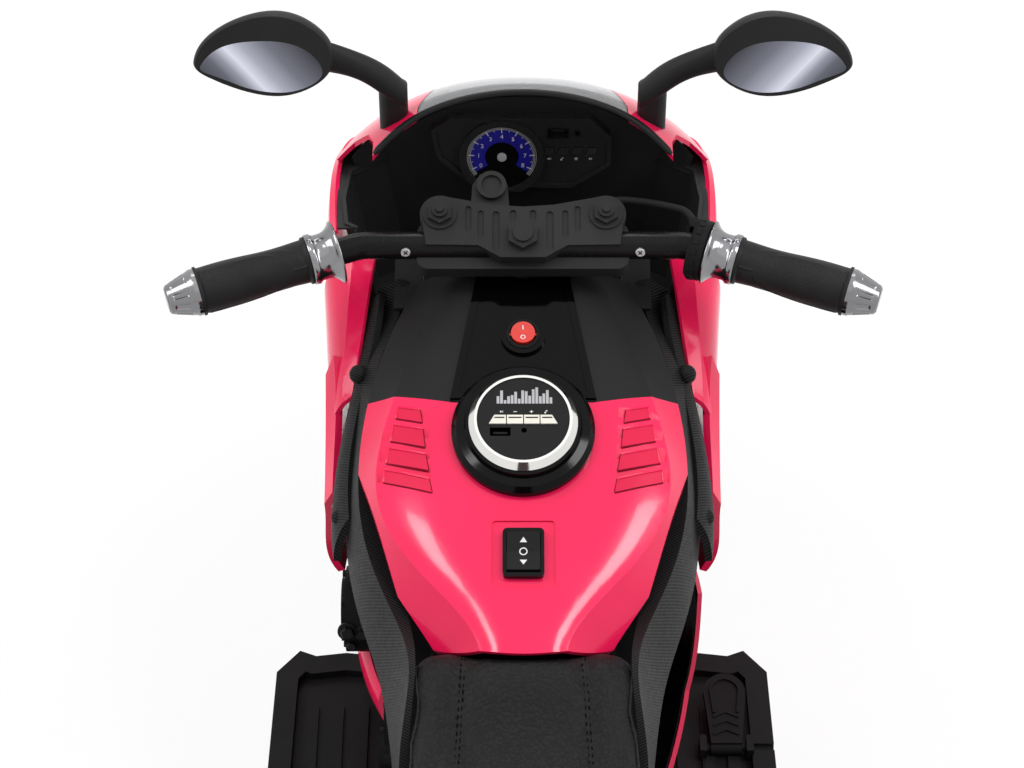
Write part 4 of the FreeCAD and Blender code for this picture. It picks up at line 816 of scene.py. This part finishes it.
# Music panel
bar_heights = [5.2, 9.3, 2.4, 5.2, 6.0, 8.4, 3.4, 9.4, 8.8, 5.6, 10.2, 11.6, 5.2, 7.2, 9.6, 4.4]
bar_foot, bar_pitch, bar_width = 11.0, 2.23, 1.72
bars = []
for i, height in enumerate(bar_heights):
    x = -16.8 + bar_pitch * i
    bars.append(slab(rectangle(x, x + bar_width, bar_foot, bar_foot + height),
                     face_level - 0.05, face_level + 0.12))
piece("music_bars", bars, tank, silver_print, "body")
music_signs = []
for kind, x in zip(("play", "less", "more", "tune"), (-13.6, -5.0, 5.2, 14.6)):
    music_signs += icon(kind, x, 5.2, face_level - 0.05, face_level + 0.1)
piece("music_signs", music_signs, tank, white_print, "body")
key_low = [-22.0, -10.6, 0.2, 10.6, 22.0]
key_high = [-18.5, -10.6, 0.2, 10.6, 18.5]


def key_line(i, y0, y1, margin, low, high):
    """A dark line across one trapezium key."""
    ends = []
    for y in (y0, y1):
        share = (y + 3.6) / 6.2
        left, right = (key_low[n] + share * (key_high[n] - key_low[n]) for n in (i, i + 1))
        ends.append([(left + margin, y), (right - margin, y)])
    return slab(ends[0] + ends[1][::-1], low, high)


for i in range(4):
    line = key_line(i, 0.25, 1.15, 1.3, face_level + 0.75, face_level + 0.86)
    piece("music_key_line_%d" % (i + 1), [line], tank, black_satin, "music_key_%d" % (i + 1))


# Screen gasket, cockpit flanges and belly linings
screen_edge = [(-98, 198.6, 0), (-62, 217.6, 0), (0, 224.6, 0), (62, 217.6, 0), (98, 198.6, 0)]


def top_of(trees, x, y):
    """Highest surface of several under a point, in millimetres."""
    hits = [tree.ray_cast(Vector((x, y, 800)) * mm, Vector((0, 0, -1)))[0] for tree in trees]
    return max(hit.z / mm for hit in hits if hit is not None)


def gasket_shape():
    """A flattened bead along the rear edge of the screen and its ears."""
    trees = [surface("windshield"), surface("nose_fairing")]
    path = []
    for x, y, _ in smooth_path(screen_edge, 61):
        path.append((x, y, top_of(trees, x, y) - 0.4))
    return tube(path, 2.7, 12, 0.7)


piece("screen_gasket", [gasket_shape()], plain, black_satin, "body")


def wall(tree, side, start, y, z):
    """Sideways distance of a wall from the middle at a height, or None."""
    hit = tree.ray_cast(Vector((side * start, y, z)) * mm, Vector((side, 0, 0)))[0]
    return None if hit is None else abs(hit.x) / mm


def rim_height(tree, side, start, y, high, low):
    """Height of a wall's upper edge, or None."""
    z = high
    while z > low:
        if wall(tree, side, start, y, z) is not None:
            return z
        z -= 0.5
    return None


def flange_shape(side, node):
    """A strip that closes the slot between the cockpit liner and a side fairing."""
    fairing = surface(node)
    liner = surface("cockpit_liner")
    inside, highest, thick = 60, 487.0, 1.4
    rings = []
    for i in range(23):
        y = 177.0 + 4.0 * i
        level = min(rim_height(fairing, side, inside, y, 520, 440), highest) - 0.8
        outer = wall(fairing, side, inside, y, level)
        inner = min(wall(liner, side, inside, y, level - 1.0) or outer, outer - 6.0)
        inner -= 4.0 if y > 232 else 0.0
        rings.append([(side * x, y, z)
                      for x, z in ((inner + 0.5, level - thick), (outer + 0.4, level - thick),
                                   (outer + 0.4, level), (inner + 0.5, level))])
    return join_rings(rings)


def lining_shape(side):
    """A thin plate along the inside of a belly fairing, a little short of its rim."""
    belly = surface("belly_fairings")
    foot, gap, thick = 152.0, 0.3, 1.0
    rings = []
    for i in range(44):
        y = -44.0 + 5.2 * i
        rim = rim_height(belly, side, 20, y, 340, 140)
        if rim is None or rim < foot + 10.0:
            continue
        levels = [foot + (rim - 2.0 - foot) * k / 11 for k in range(12)]
        walls = [wall(belly, side, 20, y, z) for z in levels]
        if None in walls:
            continue
        outer, inner = ([(side * (x - off), y, z) for x, z in zip(walls, levels)]
                        for off in (gap, gap + thick))
        rings.append(outer + inner[::-1])
    return join_rings(rings)


for name, side in (("left", -1), ("right", 1)):
    # The flanges take the lighter black, painted fill light.
    piece("cockpit_flange_" + name, [flange_shape(side, "side_fairing_" + name)], plain, black_painted_fill, "body")
    piece("belly_lining_" + name, [lining_shape(side)], plain, black, "body", angle=60)


# Rocker marks
def conform(node, shapes):
    """Sets thin marks in the tank's frame on a node's surface."""
    tree = surface(node)
    result = []
    for points, faces in shapes:
        result.append(([(x, y, z + (drop(tree, tank, x, y) or 0.0)) for x, y, z in points], faces))
    return result


mark_low, mark_high = -0.1, 0.12
power_p = 71.0
power_marks = [slab(rectangle(-0.35, 0.35, power_p + 2.2, power_p + 5.0), mark_low, mark_high),
               arc_band((0, power_p - 3.4), 1.1, 1.7, 0, 360, mark_low, mark_high, 24)]
piece("power_marks", conform("power_rocker", power_marks), tank, white_print, "power_switch")
way_p = -85.0
way_marks = [slab([(-2.3, way_p + 6.0), (2.3, way_p + 6.0), (0, way_p + 9.4)], mark_low, mark_high),
             slab([(-2.3, way_p - 6.0), (0, way_p - 9.4), (2.3, way_p - 6.0)], mark_low, mark_high),
             arc_band((0, way_p), 1.9, 2.6, 0, 360, mark_low, mark_high, 28)]
piece("direction_marks", conform("direction_rocker", way_marks), tank, white_print, "direction_switch")


# Tank louvres: (front edge, rear edge) of each, from the outer end to the inner one
louvre_edges = [(((80.5, 20.8), (66.0, 17.3)), ((81.5, 12.6), (64.5, 8.2))),
                (((83.0, 8.0), (64.0, 3.2)), ((84.5, -4.0), (62.5, -9.6))),
                (((85.5, -9.0), (62.0, -15.0)), ((87.0, -19.8), (60.0, -26.4))),
                (((88.0, -24.4), (59.5, -32.6)), ((88.5, -33.2), (57.5, -42.0)))]
tank_skin = surface("tank_cover")


def on_tank(x, p, lift):
    """A point over the tank's skin, read between the recesses of the CAD."""
    rows = (-47.0, -19.5, -4.5, 10.5)
    i = max(n for n in range(3) if n == 0 or rows[n] <= p)
    low, high = (drop(tank_skin, tank, x, row) for row in rows[i:i + 2])
    return (x, p, low + (high - low) * (p - rows[i]) / (rows[i + 1] - rows[i]) + lift)


def band(side, front, rear, lift):
    """A thin plate on the tank between two edges."""
    depth, steps = 0.8, 9
    rings = []
    for i in range(steps):
        ends = [Vector(a).lerp(Vector(b), i / (steps - 1)) for a, b in (front, rear)]
        ring = [on_tank(side * e.x, e.y, lift) for e in ends]
        rings.append(ring + [(x, y, z - lift - depth) for x, y, z in reversed(ring)])
    return join_rings(rings)


def louvres():
    """Floors in painted shade, bright lips and strips of painted shadow along the grooves of the tank's
    louvres.
    """
    floors, lips, grooves = [], [], []
    for side in (-1, 1):
        for front, rear in louvre_edges:
            # Floors: plates in the darker pink, painted shade over the recesses.
            floors.append(band(side, front, rear, 0.25))
            inside = (front[1], rear[1])
            # Painted shadow: flat dark strips laid just over the skin along the rear and inner edges stand
            # in for the shadow in the grooves.
            grooves.append(band(side, rear, [(x, y - 1.1) for x, y in rear], 0.4))
            grooves.append(band(side, inside, [(x - 0.5, y) for x, y in inside], 0.4))
            path = []
            for a, b in ((rear[0], front[0]), front):
                path += [Vector(a).lerp(Vector(b), i / 8) for i in range(8)]
            path.append(Vector(front[1]))
            lips.append(tube([on_tank(side * e.x, e.y, 0.3) for e in path], 0.75, 8))
    return floors, lips, grooves


# The grooves piece holds flat strips of painted shadow, not cut grooves; the floors piece is in painted
# shade.
for kind, shapes, material in zip(("floors", "lips", "grooves"), louvres(), (pink_painted_shade, pink, pink_shadow)):
    piece("louvre_" + kind, shapes, tank, material, "body")


# Seat: a stuffed cover, swollen by simulation
seat_voxel = 5.0 * mm
seat_inset = 3.0
seat_pressure, seat_frames = 4.0, 20
seat_passes = 5
seat_cap = 6.0 * mm
seat_widen = 5.5
seat_slack = 0.7 * mm


def seat_copy():
    """The cushion's solid as one closed, slightly smaller skin of even faces."""
    mesh = nodes["seat_cushion"].data.copy()
    work = bmesh.new()
    work.from_mesh(mesh)
    bmesh.ops.remove_doubles(work, verts=work.verts, dist=0.00002)
    bmesh.ops.recalc_face_normals(work, faces=work.faces)
    work.normal_update()
    work.to_mesh(mesh)
    work.free()
    mesh.materials.clear()
    obj = bpy.data.objects.new("seat_cover", mesh)
    scene.collection.objects.link(obj)
    remesh = obj.modifiers.new("even", "REMESH")
    remesh.mode = "VOXEL"
    remesh.voxel_size = seat_voxel
    settle(obj)
    for vertex in obj.data.vertices:
        vertex.co -= vertex.normal * seat_inset * mm
    return obj


def settle(obj):
    """Keeps the evaluated mesh and drops the modifiers."""
    depsgraph = bpy.context.evaluated_depsgraph_get()
    made = bpy.data.meshes.new_from_object(obj.evaluated_get(depsgraph))
    obj.modifiers.clear()
    obj.data = made


def swell(obj):
    """Cloth under pressure from inside, each point's travel capped."""
    start = [v.co.copy() for v in obj.data.vertices]
    cloth = obj.modifiers.new("cloth", "CLOTH")
    cloth.settings.quality = 5
    cloth.settings.use_pressure = True
    cloth.settings.uniform_pressure_force = seat_pressure
    cloth.settings.effector_weights.gravity = 0.0
    for number in range(1, seat_frames + 1):
        scene.frame_set(number)
    settle(obj)
    scene.frame_set(1)
    for vertex, old in zip(obj.data.vertices, start):
        move = vertex.co - old
        if move.length > seat_cap:
            vertex.co = old + move.normalized() * seat_cap


def stitch_x(y):
    """Distance of the seat's double seam from the middle, in millimetres."""
    rows = [(-430, 22), (-412, 24), (-390, 31), (-350, 42), (-300, 47), (-250, 44.5), (-200, 41),
            (-121, 37), (-90, 36)]
    for (y0, x0), (y1, x1) in zip(rows, rows[1:]):
        if y <= y1:
            return x0 + (x1 - x0) * (y - y0) / (y1 - y0)
    return rows[-1][1]


def even_out(mesh, passes):
    """Takes the kinks out of a skin."""
    work = bmesh.new()
    work.from_mesh(mesh)
    for _ in range(passes):
        bmesh.ops.smooth_vert(work, verts=work.verts, factor=0.5,
                              use_axis_x=True, use_axis_y=True, use_axis_z=True)
    work.to_mesh(mesh)
    work.free()


def shape_seat(obj):
    """Keeps the cover inside its room, flat below, with sewn channels and raised bolsters."""
    solid = surface("seat_cushion")
    for vertex in obj.data.vertices:
        near, normal, _, _ = solid.find_nearest(vertex.co)
        proud = (vertex.co - near).dot(normal)
        up = max(0.0, normal.z)
        room = (-0.4 + 2.6 * up + 2.2 * abs(normal.x)) * mm
        if proud > room or proud < -seat_slack:
            vertex.co = near + normal * (room if proud > room else -seat_slack)
    even_out(obj.data, seat_passes)
    for vertex in obj.data.vertices:
        up = max(0.0, solid.find_nearest(vertex.co)[1].z)
        x, y, _ = vertex.co / mm
        off = abs(x) - stitch_x(y)
        if up > 0.3:
            bolster = 2.2 * eased(off, 2.0, 9.0) * (1 - eased(abs(x), 52.0, 60.0))
            channel = -3.2 * bump_at(off, 0.0, 3.4)
            vertex.co.z += (bolster + channel - 1.0) * mm * up
        vertex.co.x += math.copysign(seat_widen * eased(abs(x), 42.0, 62.0), x) * mm
    obj.data.shade_smooth()


seat = seat_copy()
swell(seat)
shape_seat(seat)
seat.data.materials.clear()
seat.data.materials.append(seat_leather)
seat.modifiers.new("smooth", "SUBSURF").levels = 1
seat.modifiers["smooth"].render_levels = 1
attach(seat, "body")
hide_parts("seat_cushion")


def seat_point(tree, x, y, lift):
    """A point over the seat's top, in millimetres, or None."""
    hit = tree.ray_cast(Vector((x * mm, y * mm, 0.6)), Vector((0, 0, -1)))[0]
    return None if hit is None else hit / mm + Vector((0, 0, lift))


def stitches():
    """Two rows of thread along each sewn channel."""
    tree = surface(seat)
    lift, tuck, pitch, thick = 0.25, 0.45, 5.0, 0.48
    shapes = []
    for side in (-1, 1):
        for row in (-1.15, 1.15):
            y = -110.0
            while y > -402.0:
                path = [seat_point(tree, side * (stitch_x(y - step) + row), y - step, lift)
                        for step in (0.0, 1.2, 2.4, 3.6)]
                if None not in path:
                    path[0].z -= tuck
                    path[-1].z -= tuck
                    shapes.append(tube(path, thick, 8))
                y -= pitch
    return shapes


piece("seat_stitching", stitches(), plain, thread, "body")


def piping(side):
    """A sewn cord along the shoulder of the seat."""
    tree = surface(seat)
    path = []
    for i in range(52):
        y = -112.0 - 4.6 * i
        high = seat_point(tree, side * stitch_x(y), y, 0.0)
        start = Vector((side * 130.0, y, high.z - 9.0)) * mm
        hit = tree.ray_cast(start, Vector((-side, 0, 0)))[0]
        if hit is not None:
            path.append(hit / mm)
    return tube(path, 1.1, 10)


piece("seat_piping", [piping(-1), piping(1)], plain, seat_leather, "body")


# Small screws and bolts
def head(centre, way, radius, high, sides):
    """A chamfered screw or bolt head standing on a face."""
    profile = [(radius, -0.8), (radius, high * 0.7), (radius * 0.82, high), (0.1, high)]
    return lathe(profile, centre, way, sides)


def cross_slot(centre, way, radius, high):
    """Two crossed bars that read as a driver slot."""
    way = Vector(way).normalized()
    side = way.orthogonal().normalized()
    low, top = high - 0.3, high + 0.06
    shapes = []
    for a, b in ((side, way.cross(side)), (way.cross(side), side)):
        rings = []
        for k in (-1, 1):
            rings.append([Vector(centre) + a * (k * radius * 0.55) + b * (m * radius * 0.13) + way * h
                          for m, h in ((-1, low), (1, low), (1, top), (-1, top))])
        shapes.append(join_rings(rings))
    return shapes


bar_back = (0.0, -0.97, 0.26)
bar_screws = [(-76.0, 131.3, 504.6), (76.0, 131.3, 504.6)]
screw_radius, screw_high = 3.1, 1.3
piece("bar_screws", [head(centre, bar_back, screw_radius, screw_high, 32) for centre in bar_screws], plain,
      steel, "steering")
slots = [bar for centre in bar_screws for bar in cross_slot(centre, bar_back, screw_radius, screw_high)]
piece("bar_screw_slots", slots, plain, black, "steering")
engine_back = (0.0, -0.95, 0.31)
engine_bolts = []
for x, y, z, radius in ((-121.0, 37.6, 235.0, 5.2), (-111.0, 37.4, 233.5, 4.2), (-118.5, 36.6, 222.5, 3.4)):
    engine_bolts.append(head((x, y, z), engine_back, radius, 4.0, 6))
    engine_bolts.append(head((x, y, z), engine_back, radius * 1.35, 1.2, 32))
piece("engine_bolts", engine_bolts, plain, black_satin, "body", angle=30)


# Camera of the photograph
camera_data = bpy.data.cameras.new("camera")
camera_data.sensor_width = 36.0
camera_data.lens = 98.44
camera = bpy.data.objects.new("camera", camera_data)
camera.location = (-0.0071, -1.2128, 1.7278)
camera.rotation_euler = (math.radians(45), 0, 0)
scene.collection.objects.link(camera)
scene.camera = camera
scene.view_settings.view_transform = "Standard"


# Studio
def seen_rays(tree):
    """1 for what the camera, a gloss or a clear surface sees, else 0."""
    rays = tree.nodes.new("ShaderNodeLightPath").outputs
    seen = math_of(tree, "MAXIMUM", rays["Is Camera Ray"], rays["Is Glossy Ray"])
    return math_of(tree, "MAXIMUM", seen, rays["Is Transmission Ray"])


def make_world():
    world = bpy.data.worlds.new("studio")
    world.use_nodes = True
    scene.world = world
    tree = world.node_tree
    background = tree.nodes["Background"]
    preset(background, Color=(1.0, 1.0, 1.0, 1.0))
    strength = sum_of(tree, seen_rays(tree), 0.5, 0.5)
    tree.links.new(strength, background.inputs["Strength"])


def make_floor():
    half = 6.0
    mesh = bpy.data.meshes.new("floor")
    mesh.from_pydata([(x, y, 0) for x, y in rectangle(-half, half, -half, half)], [], [(0, 1, 2, 3)])
    floor = bpy.data.objects.new("floor", mesh)
    scene.collection.objects.link(floor)
    material, tree, shader, _ = blank("floor")
    preset(shader, Base_Color=(0.92, 0.92, 0.92, 1.0), Roughness=0.9, Specular_IOR_Level=0.0)
    glow = tree.nodes.new("ShaderNodeEmission")
    preset(glow, Color=(1.0, 1.0, 1.0, 1.0))
    mix = tree.nodes.new("ShaderNodeMixShader")
    share = math_of(tree, "MULTIPLY", seen_rays(tree), 0.8)
    tree.links.new(share, mix.inputs["Fac"])
    tree.links.new(shader.outputs["BSDF"], mix.inputs[1])
    tree.links.new(glow.outputs["Emission"], mix.inputs[2])
    tree.links.new(mix.outputs["Shader"], tree.nodes["Material Output"].inputs["Surface"])
    mesh.materials.append(material)


lamp_target = Vector((0, 0, 0.4))


def lamp(name, location, width, length, power):
    """A soft rectangular lamp that faces the part."""
    data = bpy.data.lights.new(name, "AREA")
    data.shape = "RECTANGLE"
    data.size = width
    data.size_y = length
    data.energy = power
    obj = bpy.data.objects.new(name, data)
    obj.location = location
    obj.rotation_euler = (lamp_target - Vector(location)).to_track_quat("-Z", "Y").to_euler()
    scene.collection.objects.link(obj)


make_world()
make_floor()
lamp("soft_left", (-1.5, 0.1, 1.5), 0.7, 1.5, 15)
lamp("soft_right", (1.5, -0.1, 1.5), 0.7, 1.5, 15)
lamp("soft_top", (0.0, -0.3, 2.8), 3.2, 3.2, 8)
lamp("soft_front", (0.0, 1.7, 2.0), 1.4, 0.8, 16)
lamp("window_left", (-0.55, 0.03, 2.3), 0.3, 0.2, 3)
lamp("window_right", (0.72, -0.02, 2.3), 0.5, 0.24, 6)
